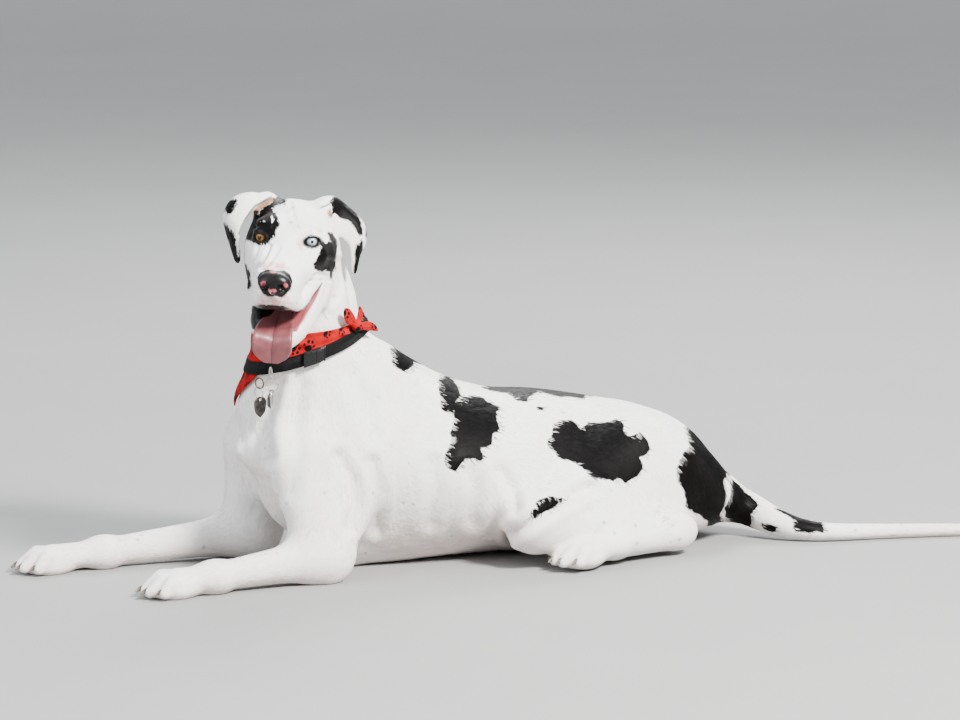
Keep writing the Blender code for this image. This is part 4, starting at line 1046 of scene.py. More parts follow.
def polygon_distance(places, corners):
    """The distance of places in a plane to a closed outline, below zero inside it."""
    corners = np.array(corners, float)
    nearest = np.full(len(places), 1e9)
    inside = np.zeros(len(places), bool)
    for a, b in zip(corners, np.roll(corners, -1, 0)):
        along, away = b - a, places - a
        share = np.clip(away @ along / (along @ along), 0, 1)
        nearest = np.minimum(nearest, np.linalg.norm(away - share[:, None] * along, axis=1))
        crosses = (a[1] > places[:, 1]) != (b[1] > places[:, 1])
        reach = a[0] + (places[:, 1] - a[1]) * along[0] / (along[1] if along[1] else 1e-9)
        inside ^= crosses & (places[:, 0] < reach)
    return np.where(inside, -nearest, nearest)


def ripple(points, size, seed, octaves=3):
    """Smooth noise of about -1 to 1 at points, with lumps about size across."""
    made = np.zeros(len(points))
    draw = np.random.default_rng(seed)
    for k in range(octaves):
        total = 0
        for _ in range(7):
            wave = draw.normal(size=3) * 2.2 * 2**k / size
            total = total + np.sin(points @ wave + draw.uniform(0, 6.3))
        made += total / 2.6 / 1.7**k
    return made / 1.6


def patch_distance(points, normals):
    """How far each point of the skin lies from the edge of the black patches, below zero on them."""
    spots = in_picture(points)
    facing = normals @ BACK
    turned = np.maximum(-0.05 - facing, 0) * 0.12
    near = least_polygon(spots, NEAR_PATCHES) + turned
    near = np.where(points[:, 2] > 0.42, FAR, near)
    upper = points[:, 2] > 0.42
    face = np.full(len(points), FAR)
    face[upper] = np.maximum(least_polygon(spots[upper], FACE_PATCHES), -least_polygon(spots[upper], FACE_WHITES))
    face[upper] += turned[upper]
    far = np.min([np.linalg.norm(points - c, axis=1) - r for c, r in FAR_PATCHES], 0)
    far = np.where(facing < 0.15, far, np.maximum(far, (facing - 0.15) * 0.2))
    made = np.minimum(near, far + ripple(points, 0.05, 3) * 0.008)
    return np.minimum(made + ripple(points, 0.016, 5) * 0.0022, face + ripple(points, 0.007, 6) * 0.0012)


# Ear patches, pink skin, the ears' inner skin in painted shade and black leather on the head, outlined in the
# picture's pixels
EAR_PATCHES = (
    ((226, 201), (229, 198), (233, 198), (238, 200), (237, 206), (233, 211), (231, 214), (227, 214), (224, 207)),
    ((224, 221), (229, 227), (234, 233), (236, 239), (237, 250), (239, 264), (230, 264), (229, 242), (222, 228)),
    ((242, 229), (246, 223), (248, 228), (244, 244), (242, 262), (238, 264), (240, 246), (240, 236)),
    ((271, 196), (276, 191), (285, 192), (287, 204), (276, 205), (268, 210), (260, 214), (264, 208), (273, 202)),
    (
        (329, 201), (335, 196), (342, 197), (349, 203), (354, 209), (359, 217), (362, 226), (363, 234), (360, 236),
        (357, 232), (353, 226), (350, 223), (348, 220), (343, 219), (338, 217), (337, 214), (334, 214), (331, 218),
        (329, 217), (330, 211), (332, 207),
    ),
    ((356, 243), (359, 244), (360, 239), (363, 240), (364, 276), (353, 276)),
    ((365, 227), (372, 227), (373, 242), (368, 242), (365, 235)),
)  # fmt: skip
NOSE_OUTLINE = (
    (257, 277), (261, 271), (268, 269), (277, 271), (284, 270), (290, 274), (293, 281), (291, 289), (287, 294),
    (282, 298), (275, 296), (268, 297), (262, 293), (258, 285),
)  # fmt: skip
NOSE_PINK = (
    ((260, 283), (262, 281), (265, 281), (266, 284), (264, 286), (261, 286)),
    ((283, 286), (285, 283), (288, 284), (288, 287), (285, 289)),
    ((268, 289), (271, 290), (273, 289), (277, 290), (276, 292), (272, 293), (269, 292)),
    ((269, 269), (276, 270), (275, 273), (271, 273)),
)
PINK_AREAS = (
    ((262, 294), (285, 294), (292, 300), (294, 308), (280, 309), (262, 308), (256, 304)),
    ((262, 266), (270, 262), (284, 263), (290, 270), (276, 271), (262, 272)),
    ((299, 238), (304, 236), (305, 248), (300, 250), (296, 244)),
)
# The drawn lower lip, whose inner skin shows
LIP_AREAS = (
    (
        (322, 283), (319, 292), (316, 299), (312, 306), (308, 313), (304, 320), (300, 326), (295, 334), (288, 334),
        (290, 318), (294, 313), (298, 311), (304, 309), (308, 304), (311, 299), (314, 293), (318, 288),
    ),
)  # fmt: skip
# The pinkish inner skin under the ears' rolled edges, painted in the darker brown that it shows in shade
EAR_SKIN_SHADE_AREAS = (
    (
        (277, 198), (268, 205), (260, 211), (253, 218), (248, 224), (243, 231), (242, 227), (246, 219), (251, 212),
        (258, 205), (266, 200), (272, 197),
    ),
    ((328, 210), (331, 208), (332, 217), (329, 218), (327, 213)),
)  # fmt: skip
# Black skin of the lips and the corner of the mouth, widened with painted shade: the dark gap of the mouth under the
# upper lip, and the shaded lower lip on the head's right
DARK_AREAS = (
    (
        (252, 306), (256, 305), (262, 304), (275, 305), (285, 306), (291, 309), (298, 312), (297, 315), (290, 317),
        (262, 318), (259, 326), (256, 336), (250, 346), (246, 340), (250, 322),
    ),
)  # fmt: skip
# Thin dark lines: the ears' rolled edges, the lids' creases and the lips' borders, with their half widths
DARK_LINES = (
    (((271, 197), (262, 202), (255, 206), (250, 212), (246, 218), (242, 226), (239, 234)), 0.0016),
    (((320, 208), (325, 206), (331, 203)), 0.0012),
    (((322, 283), (318, 289), (314, 294), (311, 299), (308, 304), (303, 309)), 0.0010),
    (((258, 306), (266, 305), (276, 306), (284, 307), (290, 310), (297, 312), (303, 309)), 0.0012),
    (((256, 231), (260, 230), (265, 232)), 0.0010),
    (((306, 237), (311, 235), (317, 237), (322, 240)), 0.0010),
)
GREY_AREAS = (
    ((289, 203), (302, 202), (304, 210), (296, 214), (288, 212)),
    ((306, 229), (311, 230), (317, 230), (316, 234), (309, 233)),
    ((654, 510), (660, 507), (666, 514), (678, 524), (682, 532), (668, 530), (657, 520)),
)
# Folds of the skin: a line in the picture's pixels, its half width and its depth in metres
FOLDS = (
    (((256, 268), (262, 263), (266, 256), (270, 246)), 0.0026, 0.0022),
    (((262, 270), (268, 264), (274, 256), (279, 248)), 0.0030, 0.0014),
    (((252, 262), (256, 254), (258, 247)), 0.0025, 0.0012),
    (((314, 276), (319, 274), (325, 276), (328, 281)), 0.0024, 0.0018),
    (((310, 281), (316, 279), (321, 281)), 0.0022, 0.0012),
    (((300, 229), (307, 227), (315, 229), (320, 233)), 0.0030, 0.0014),
    (((255, 227), (260, 224), (266, 226)), 0.0030, 0.0014),
    (((331, 262), (336, 274), (337, 288), (331, 302)), 0.0050, 0.0022),
    (((340, 262), (346, 278), (351, 294), (352, 312)), 0.0060, 0.0030),
    (((290, 204), (292, 210), (294, 218)), 0.0030, 0.0010),
    (((322, 284), (317, 298), (310, 311), (303, 323), (296, 332)), 0.0016, 0.0012),
    (((590, 487), (575, 493), (548, 510), (512, 534)), 0.0085, 0.0065),
    (((278, 380), (270, 405), (263, 430), (268, 455)), 0.0100, 0.0055),
    (((300, 385), (296, 420), (300, 455), (290, 490)), 0.0120, 0.0030),
    (((338, 455), (352, 480), (356, 505), (350, 525)), 0.0085, 0.0045),
    (((470, 470), (476, 495), (472, 520)), 0.0100, 0.0030),
    (((432, 462), (436, 492), (430, 522)), 0.0100, 0.0026),
    (((372, 462), (380, 492), (376, 528)), 0.0085, 0.0034),
    (((500, 470), (512, 488), (516, 508)), 0.0085, 0.0034),
    (((350, 375), (365, 400), (372, 430)), 0.0120, 0.0028),
)


FOLD_STRENGTH = 1.3


def least_polygon(spots, outlines):
    return np.min([polygon_distance(spots, p) for p in outlines], 0) / PIXELS_PER_METRE


def line_distance(spots, line):
    """How far places in the picture lie from a line of pixels, in metres."""
    nearest = np.full(len(spots), 1e9)
    for a, b in zip(np.array(line, float), np.array(line[1:], float)):
        along, away = b - a, spots - a
        share = np.clip(away @ along / (along @ along), 0, 1)
        nearest = np.minimum(nearest, np.linalg.norm(away - share[:, None] * along, axis=1))
    return nearest / PIXELS_PER_METRE


def fold_skin(skin):
    """Presses the folds into the side of the skin that the camera sees."""
    points, normals = points_of(skin.data), normals_of(skin.data)
    near = normals @ BACK > 0.05
    spots = in_picture(points[near])
    moved = np.zeros(len(spots))
    for line, half, depth in FOLDS:
        away = line_distance(spots, line) / half
        moved -= depth * FOLD_STRENGTH * np.exp(-away * away)
        moved += depth * FOLD_STRENGTH * 0.45 * np.exp(-((away - 2.2) ** 2))
    points[near] += normals[near] * moved[:, None].astype(np.float32)
    skin.data.vertices.foreach_set("co", points.ravel())
    skin.data.update()


def soft_edge(distance, width):
    """1 well inside an outline, 0 well outside, over a band of that width."""
    return np.clip(0.5 - distance / width, 0, 1)


def near_head_point(inner, place, radii):
    return np.linalg.norm((inner - np.array(place)) / np.array(radii), axis=1)


def mark_skin(skin):
    """Stores the markings, the bare skin's tints, painted shade in the mouth and on the ears' inner skin, and the lie
    of the coat on the skin's points.
    """
    mesh = skin.data
    points, normals = points_of(mesh).astype(float), normals_of(mesh).astype(float)
    spots = in_picture(points)
    facing = normals @ BACK
    seen = np.clip(facing * 8 + 1, 0, 1)
    frame = np.array(head_frame())
    inner = (points - frame[:3, 3]) @ frame[:3, :3]
    head = points[:, 2] > 0.40

    patch = patch_distance(points, normals)
    ear_spots = least_polygon(spots, EAR_PATCHES) + ripple(points, 0.006, 8) * 0.0008
    is_ear = head & on_ears(inner)
    # The hidden faces of the ears carry patches of their own
    hidden_ear = 0.028 - np.abs(inner[:, 2] + 0.030) + ripple(points, 0.02, 9) * 0.006
    ear_patch = np.where(facing > -0.1, ear_spots, np.maximum(hidden_ear, -0.01))
    patch = np.where(is_ear, ear_patch, patch)

    nose = least_polygon(spots, (NOSE_OUTLINE,)) + ripple(points, 0.006, 11) * 0.0004
    front = inner[:, 0] - 0.176
    nose = np.where((front > 0) & (inner[:, 2] > -0.075), nose, FAR)
    side_nose = near_head_point(inner, (0.190, 0, -0.041), (0.020, 0.029, 0.025)) - 1
    nose = np.where((front > 0) & (facing < 0.1), side_nose * 0.02, nose)
    pink_nose = least_polygon(spots, NOSE_PINK) + ripple(points, 0.004, 12) * 0.0004
    leather = soft_edge(nose, 0.0012)
    nose_pink = soft_edge(pink_nose, 0.0010) * leather
    lip = soft_edge(least_polygon(spots, LIP_AREAS), 0.0014) * seen * head * (inner[:, 0] > 0.03)
    nose_pink = np.maximum(nose_pink, lip)
    leather = np.maximum(leather, lip)

    # Rims of the lids, and painted shade inside the mouth
    dark = np.zeros(len(points))
    for side in (-1, 1):
        eye = np.array(eye_frame(side))
        local = (points - eye[:3, 3]) @ eye[:3, :3]
        ring = np.hypot(local[:, 1] / 0.0165, (local[:, 2] - 0.0005) / 0.0100) - 1
        near_eye = (local[:, 0] > 0.002) & (local[:, 0] < 0.03)
        dark = np.maximum(dark, np.where(near_eye, soft_edge(ring * 0.01, 0.0024), 0))
    ways = normals @ frame[:3, :3]
    outer = (ways[:, 1] * np.sign(inner[:, 1]) > 0.40) | (ways[:, 0] > 0.55)
    # Painted shade: the inside of the mouth is coloured near black, where no light reaches
    dark = np.maximum(dark, soft_edge(-mouth_depth(inner), 0.002) * (head & ~outer) * (1 - lip))
    # Black lip skin, and painted shade of the mouth's gap and of the shaded lower lip
    lips = soft_edge(least_polygon(spots, DARK_AREAS) + ripple(points, 0.006, 17) * 0.0005, 0.0016)
    dark = np.maximum(dark, lips * seen * head * (inner[:, 0] > 0.06) * (1 - lip))
    for line, half in DARK_LINES:
        dark = np.maximum(dark, soft_edge(line_distance(spots, line) - half, 0.0012) * seen * head * 0.9)

    pink = soft_edge(least_polygon(spots, PINK_AREAS) + ripple(points, 0.010, 14) * 0.001, 0.005) * seen * head
    # The ears' inner skin, painted in the brown of its shade
    tan = soft_edge(least_polygon(spots, EAR_SKIN_SHADE_AREAS), 0.002) * seen * head
    grey = soft_edge(least_polygon(spots, GREY_AREAS) + ripple(points, 0.012, 15) * 0.002, 0.010) * seen
    # Thin coat lets the skin show pink under the belly, in the armpits and on the legs
    low = np.clip(1 - points[:, 2] / 0.11, 0, 1) * ~head
    thin = np.clip(low * 0.55 + np.clip(-normals[:, 2], 0, 1) * 0.5 * ~head + 0.10, 0, 0.8)
    thin *= np.clip(0.75 + ripple(points, 0.09, 21) * 0.5, 0.1, 1.2)
    pink = np.maximum(pink, thin * 0.5)

    for name, values in (
        ("patch", patch),
        ("nose", leather),
        ("nose_pink", nose_pink),
        ("dark", dark),
        ("pink", pink),
        ("tan", tan),
        ("grey", grey),
        ("grain", grain_of(points)),
        ("lie", lie_of(points, normals)),
    ):
        put_value(mesh, name, values)


def on_ears(inner):
    """Which points of the head's frame lie on the ear flaps."""
    tree = KDTree(2 * EAR_ROWS * EAR_COLUMNS)
    flaps = np.concatenate([smooth_grid(rows, EAR_COLUMNS, EAR_ROWS).reshape(-1, 3) for rows in (EAR_RIGHT, EAR_LEFT)])
    for k, place in enumerate(flaps):
        tree.insert(place, k)
    tree.balance()
    found = np.zeros(len(inner), bool)
    for k in np.flatnonzero(np.abs(inner[:, 1]) > EAR_ROOT):
        found[k] = tree.find(inner[k])[2] < EAR_NEAR
    return found


EAR_COLUMNS, EAR_ROWS, EAR_ROOT, EAR_NEAR = 25, 49, 0.050, 0.0062


def mouth_depth(inner):
    """How far points of the head's frame lie inside the gap of the mouth."""
    x, y, z = inner.T
    upper = flowing(np.clip(x, 0.02, 0.194), MUZZLE, 2) - 0.001
    within = (x > 0.045) & (x < 0.184) & (np.abs(y) < 0.036)
    slope = math.tan(math.radians(JAW_OPEN))
    lower = -0.076 - (x - 0.03) * slope - 0.014
    return np.where(within, np.minimum(upper - z, z - lower), -FAR)


# Where the coat lies which way: a place and the way of the hair there, in the body's frame
LIE = (
    ((-0.03, 0.0, 0.42), (0.25, 0.0, -1.0)),
    ((0.04, 0.0, 0.40), (0.5, 0.0, -0.9)),
    ((-0.13, 0.0, 0.30), (0.0, 0.0, -1.0)),
    ((-0.13, 0.0, 0.18), (0.1, 0.0, -1.0)),
    ((0.02, -0.12, 0.26), (0.45, 0.0, -0.9)),
    ((0.02, 0.12, 0.26), (0.45, 0.0, -0.9)),
    ((0.14, 0.0, 0.33), (1.0, 0.0, -0.25)),
    ((0.18, -0.15, 0.16), (0.8, 0.0, -0.6)),
    ((0.18, 0.15, 0.16), (0.8, 0.0, -0.6)),
    ((0.35, 0.0, 0.27), (1.0, 0.0, 0.0)),
    ((0.36, -0.15, 0.13), (0.9, 0.0, -0.45)),
    ((0.36, 0.15, 0.13), (0.9, 0.0, -0.45)),
    ((0.20, 0.0, 0.0), (1.0, 0.0, 0.0)),
    ((0.50, -0.15, 0.15), (0.55, 0.0, -0.85)),
    ((0.50, 0.15, 0.15), (0.55, 0.0, -0.85)),
    ((0.36, -0.20, 0.07), (-0.3, -0.1, -0.9)),
    ((0.36, 0.20, 0.07), (-0.3, 0.1, -0.9)),
    ((0.40, -0.19, 0.02), (-1.0, -0.2, 0.0)),
    ((0.40, 0.19, 0.02), (-1.0, 0.2, 0.0)),
    ((0.55, 0.0, 0.22), (1.0, 0.0, -0.2)),
    ((0.64, -0.08, 0.10), (0.6, 0.0, -0.8)),
    ((0.64, 0.08, 0.10), (0.6, 0.0, -0.8)),
    ((0.66, 0.0, 0.14), (0.8, 0.0, -0.7)),
    ((-0.10, -0.12, 0.10), (-0.3, 0.0, -0.95)),
    ((-0.10, 0.12, 0.10), (-0.3, 0.0, -0.95)),
    ((-0.17, -0.145, 0.05), (-1.0, -0.2, 0.0)),
    ((-0.20, 0.125, 0.05), (-1.0, 0.05, 0.0)),
    ((-0.36, -0.20, 0.03), (-1.0, -0.3, -0.1)),
    ((-0.42, 0.14, 0.03), (-1.0, 0.1, -0.1)),
    ((0.75, -0.02, 0.05), (1.0, -0.3, -0.2)),
    ((0.75, -0.10, 0.03), (0.6, -0.7, -0.3)),
    ((0.90, -0.16, 0.02), (1.0, -0.2, 0.0)),
    ((1.19, -0.29, 0.01), (0.75, -0.65, 0.0)),
)
# The same on the head, in its own frame
HEAD_LIE = (
    ((0.18, 0.0, -0.02), (-1.0, 0.0, 0.1)),
    ((0.14, 0.035, -0.06), (-0.8, 0.0, -0.5)),
    ((0.14, -0.035, -0.06), (-0.8, 0.0, -0.5)),
    ((0.09, 0.0, 0.0), (-1.0, 0.0, 0.3)),
    ((0.03, 0.0, 0.045), (-1.0, 0.0, 0.3)),
    ((0.02, 0.055, -0.01), (-0.9, 0.2, -0.2)),
    ((0.02, -0.055, -0.01), (-0.9, -0.2, -0.2)),
    ((-0.03, 0.06, -0.05), (-0.6, 0.0, -0.8)),
    ((-0.03, -0.06, -0.05), (-0.6, 0.0, -0.8)),
    ((-0.06, 0.0, 0.045), (-1.0, 0.0, -0.1)),
    ((0.05, 0.0, -0.12), (-0.8, 0.0, -0.4)),
    ((-0.06, 0.0, -0.10), (-0.5, 0.0, -0.9)),
    ((-0.04, 0.085, 0.045), (0.0, 1.0, -0.2)),
    ((-0.04, -0.085, 0.045), (0.2, -1.0, -0.2)),
    ((-0.04, 0.10, -0.02), (0.2, 0.1, -1.0)),
    ((-0.01, -0.10, -0.01), (0.2, 0.0, -1.0)),
)


def lie_of(points, normals):
    """The way of the hair at each point of the skin, level with the skin."""
    frame = np.array(head_frame())
    places = [np.array(p) for p, _ in LIE] + [from_head(p) for p, _ in HEAD_LIE]
    ways = [unit(w) for _, w in LIE] + [frame[:3, :3] @ unit(w) for _, w in HEAD_LIE]
    total = np.zeros(points.shape)
    for place, way in zip(places, ways):
        share = 1 / (np.sum((points - place) ** 2, axis=1) + 1e-4) ** 2
        total += share[:, None] * way
    total += 0.15 * np.linalg.norm(total, axis=1, keepdims=True) * np.column_stack(
        [ripple(points, 0.06, seed, 2) for seed in (31, 32, 33)]
    )
    total -= np.sum(total * normals, axis=1, keepdims=True) * normals
    return total / np.maximum(np.linalg.norm(total, axis=1, keepdims=True), 1e-9)


# Bones that the fine grain of the coat follows: start, end
GRAIN_BONES = (
    ((-0.04, 0.0, 0.46), (-0.05, 0.0, 0.24)),
    ((0.05, 0.0, 0.20), (0.62, 0.0, 0.12)),
    ((-0.06, -0.12, 0.06), (-0.36, -0.20, 0.02)),
    ((-0.08, 0.12, 0.06), (-0.44, 0.14, 0.02)),
    ((0.50, -0.12, 0.14), (0.30, -0.18, 0.05)),
    ((0.50, 0.12, 0.14), (0.30, 0.18, 0.05)),
    ((0.66, 0.0, 0.08), (0.76, -0.12, 0.02)),
    ((0.76, -0.12, 0.02), (1.20, -0.30, 0.01)),
)
GRAIN_STRETCH = 0.84


def grain_of(points):
    """Coordinates squeezed along the nearest bone, in which round noise looks like hair."""
    total, weights = np.zeros(points.shape), np.zeros(len(points))
    bones = [(np.array(a), np.array(b)) for a, b in GRAIN_BONES]
    bones.append((from_head((0.20, 0, -0.03)), from_head((-0.08, 0, 0.02))))
    for a, b in bones:
        along = b - a
        share = np.clip((points - a) @ along / (along @ along), 0, 1)
        away = np.linalg.norm(points - a - share[:, None] * along, axis=1)
        weight = 1 / (away + 0.01) ** 8
        way = unit(along)
        total += weight[:, None] * (points - GRAIN_STRETCH * (points @ way)[:, None] * way)
        weights += weight
    return total / weights[:, None]


class Look:
    """A material whose nodes are made by short calls."""

    def __init__(self, name, **sockets):
        self.material = bpy.data.materials.new(name)
        self.material.use_nodes = True
        self.tree = self.material.node_tree
        self.shader = self.tree.nodes["Principled BSDF"]
        self.set(**sockets)

    def set(self, **sockets):
        for key, value in sockets.items():
            self.put(self.shader.inputs[key.replace("_", " ")], value)

    def put(self, socket, value):
        if isinstance(value, bpy.types.NodeSocket):
            self.tree.links.new(value, socket)
        else:
            socket.default_value = value

    def node(self, kind, inputs, **settings):
        made = self.tree.nodes.new("ShaderNode" + kind)
        for key, value in settings.items():
            setattr(made, key, value)
        for key, value in inputs.items():
            self.put(made.inputs[key], value)
        return made

    def value(self, name):
        return self.node("Attribute", {}, attribute_name=name).outputs["Fac"]

    def vector(self, name):
        return self.node("Attribute", {}, attribute_name=name).outputs["Vector"]

    def math(self, operation, *values, clamp=False):
        made = self.node("Math", dict(enumerate(values)), operation=operation, use_clamp=clamp)
        return made.outputs[0]

    def step(self, value, start, stop):
        """0 where the value is at start or before it, 1 at stop or past it, smooth between."""
        made = self.node("MapRange", {"Value": value, "From Min": start, "From Max": stop})
        made.interpolation_type = "SMOOTHSTEP"
        return made.outputs["Result"]

    def mix(self, share, a, b, blend="MIX"):
        made = self.node("Mix", {}, data_type="RGBA", blend_type=blend)
        for socket, value in zip((made.inputs[0], made.inputs[6], made.inputs[7]), (share, a, b)):
            self.put(socket, (*value, 1) if isinstance(value, tuple) else value)
        return made.outputs[2]

    def noise(self, vector, scale, detail=2.0, rough=0.55):
        inputs = {"Vector": vector, "Scale": scale, "Detail": detail, "Roughness": rough}
        return self.node("TexNoise", inputs).outputs["Fac"]

    def cells(self, vector, scale, feature="F1", output="Distance"):
        made = self.node("TexVoronoi", {}, feature=feature)
        self.put(made.inputs["Vector"], vector)
        self.put(made.inputs["Scale"], scale)
        return made.outputs[output]

    def bump(self, height, strength, distance, normal=None):
        inputs = {"Height": height, "Strength": strength, "Distance": distance}
        if normal is not None:
            inputs["Normal"] = normal
        return self.node("Bump", inputs).outputs["Normal"]

    def place(self):
        return self.node("TexCoord", {}).outputs["Object"]


WHITE_HAIR, CREAM_HAIR = (0.90, 0.89, 0.875), (0.84, 0.82, 0.79)
# Black hair, and the lighter brownish strands of painted sheen on it
BLACK_HAIR, BLACK_HAIR_SHEEN = (0.0020, 0.0018, 0.0018), (0.0075, 0.0060, 0.0048)
# The last colour is the ears' pinkish inner skin in painted shade
PINK_SKIN, GREY_HAIR, EAR_SKIN_IN_SHADE = (0.66, 0.36, 0.31), (0.10, 0.097, 0.10), (0.26, 0.135, 0.075)
# The last colour is the black of the lid rims and lips, and also painted shade inside the mouth
NOSE_BLACK, NOSE_ROSE, RIM_BLACK_AND_MOUTH_SHADE = (0.003, 0.0026, 0.0028), (0.36, 0.080, 0.088), (0.0025, 0.0018, 0.0018)


def coat_look(name, hairs):
    """White coat with black patches streaked with painted sheen, thin pink places, grey ticks, the bare skin of nose,
    lids and lips, the ears' inner skin in painted shade, and painted shade inside the mouth.
    """
    look = Look(name, Specular_IOR_Level=0.06, Coat_Roughness=0.28, Coat_IOR=1.4)
    grain, place = look.vector("grain"), look.place()
    streak = look.noise(grain, 900.0, 3.0, 0.65)
    clump = look.noise(grain, 190.0, 3.0, 0.55)
    broad = look.noise(place, 9.0, 3.0, 0.5)
    white = look.mix(look.step(broad, 0.38, 0.68), WHITE_HAIR, CREAM_HAIR)
    white = look.mix(look.math("MULTIPLY", look.step(streak, 0.45, 0.75), 0.34), white, (0.62, 0.59, 0.55))
    pink_share = look.math("MULTIPLY", look.value("pink"), look.step(clump, 0.15, 0.75))
    colour = look.mix(pink_share, white, PINK_SKIN)
    tick = look.cells(place, 62.0, output="Distance")
    ticked = look.math("MULTIPLY", look.step(tick, 0.30, 0.12), look.step(look.noise(place, 23.0), 0.60, 0.66))
    colour = look.mix(look.math("MULTIPLY", ticked, 0.45), colour, GREY_HAIR)
    ragged = look.math("MULTIPLY_ADD", look.math("SUBTRACT", streak, 0.5), 0.007, look.value("patch"))
    ragged = look.math("MULTIPLY_ADD", look.math("SUBTRACT", clump, 0.5), 0.005, ragged)
    grey_share = look.math("MULTIPLY", look.value("grey"), look.step(clump, 0.45, 0.70))
    grey_share = look.math("MULTIPLY", grey_share, look.math("MULTIPLY", look.step(streak, 0.40, 0.62), 0.7))
    colour = look.mix(grey_share, colour, GREY_HAIR)
    # The ears' inner skin, in painted shade
    colour = look.mix(look.value("tan"), colour, EAR_SKIN_IN_SHADE)
    # Painted sheen: lighter brownish strands in the black hair stand in for light glancing off it
    black = look.mix(look.step(streak, 0.48, 0.80), BLACK_HAIR, BLACK_HAIR_SHEEN)
    in_patch = look.step(ragged, 0.0007, -0.0007)
    colour = look.mix(in_patch, colour, black)
    roughness = look.mix(in_patch, (0.62,) * 3, (0.40,) * 3)
    pebble = look.cells(place, 950.0)
    leather = look.mix(look.value("nose_pink"), NOSE_BLACK, NOSE_ROSE)
    colour = look.mix(look.value("nose"), colour, leather)
    # Black rims and lips, and painted shade inside the mouth and in its gap
    colour = look.mix(look.value("dark"), colour, RIM_BLACK_AND_MOUTH_SHADE)
    bare = look.math("MAXIMUM", look.value("nose"), look.value("dark"))
    roughness = look.mix(bare, roughness, (0.30,) * 3)
    hair_height = look.math("MULTIPLY_ADD", clump, 0.8, look.math("MULTIPLY", streak, 0.5))
    height = look.mix(look.value("nose"), hair_height, look.math("MULTIPLY", pebble, 1.6))
    look.set(Base_Color=colour, Roughness=roughness, Coat_Weight=look.math("MULTIPLY", bare, 0.45))
    look.set(Normal=look.bump(height, 0.45 if hairs else 0.6, 0.0012))
    return look.material


def eye_look(name, inner, outer, rim, pupil):
    """An eyeball: pupil, fibrous iris, dark edge of the iris, and the white with its veins, painted nearly black as
    shade under the lids.
    """
    look = Look(name, Roughness=0.25, Coat_Weight=0.55, Coat_Roughness=0.03, Specular_IOR_Level=0.2)
    gaze = look.vector("gaze")
    parts = look.node("SeparateXYZ", {"Vector": gaze})
    across = look.math("SQRT", look.math("ADD", *(look.math("POWER", parts.outputs[k], 2.0) for k in (1, 2))))
    turn = look.math("ARCTAN2", parts.outputs[2], parts.outputs[1])
    spokes = look.node("CombineXYZ", {"X": look.math("MULTIPLY", turn, 7.0), "Y": look.math("MULTIPLY", across, 3.0)})
    fibre = look.noise(spokes.outputs[0], 2.6, 4.0, 0.7)
    iris = look.mix(look.step(across, pupil, 0.60), inner, outer)
    iris = look.mix(look.math("MULTIPLY", look.step(fibre, 0.42, 0.72), 0.65), iris, rim)
    iris = look.mix(look.step(across, 0.54, 0.62), iris, rim)
    veins = look.noise(gaze, 5.0, 6.0, 0.8)
    # Painted shade: the white of the eye is coloured nearly black, as it looks shaded by the lids
    white = look.mix(look.step(veins, 0.55, 0.75), (0.060, 0.048, 0.042), (0.045, 0.018, 0.015))
    colour = look.mix(look.step(across, 0.62, 0.66), iris, white)
    colour = look.mix(look.step(across, pupil + 0.02, pupil - 0.02), colour, (0.004, 0.004, 0.005))
    look.set(Base_Color=colour)
    return look.material


def tongue_look():
    """Dusky rose flesh, with painted shade in the groove, and fine papillae."""
    look = Look("tongue_flesh", Roughness=0.42, Specular_IOR_Level=0.45, Subsurface_Weight=0.2)
    look.set(Subsurface_Radius=(0.010, 0.004, 0.003), Subsurface_Scale=0.4, Coat_Weight=0.15, Coat_Roughness=0.25)
    place = look.place()
    broad, fine = look.noise(place, 45.0, 3.0), look.cells(place, 1300.0)
    colour = look.mix(look.step(broad, 0.35, 0.65), (0.150, 0.036, 0.042), (0.190, 0.054, 0.060))
    # Painted shade: the groove is coloured darker where shade falls in it
    colour = look.mix(look.math("MULTIPLY", look.value("groove"), 0.8), colour, (0.055, 0.010, 0.012))
    colour = look.mix(look.step(look.noise(place, 420.0, 2.0), 0.62, 0.78), colour, (0.22, 0.075, 0.078))
    look.set(Base_Color=colour)
    look.set(Normal=look.bump(look.math("ADD", fine, broad), 0.22, 0.0004))
    return look.material


def claw_look():
    look = Look("claw_horn", Roughness=0.35, Specular_IOR_Level=0.5)
    place = look.place()
    lines = look.noise(place, 420.0, 3.0)
    colour = look.mix(look.step(look.value("share"), 0.1, 0.9), (0.06, 0.045, 0.036), (0.24, 0.19, 0.15))
    colour = look.mix(look.step(lines, 0.4, 0.7), colour, (0.05, 0.038, 0.032))
    look.set(Base_Color=colour, Normal=look.bump(lines, 0.3, 0.0004))
    return look.material


# Paw prints on the cotton: cells per metre, the main pad, and the four toes as places and sizes, in cells
PRINT_SCALE = 37.0
PRINT_TOES = ((-0.255, 0.05, 0.068), (-0.105, 0.225, 0.078), (0.105, 0.225, 0.078), (0.255, 0.05, 0.068))


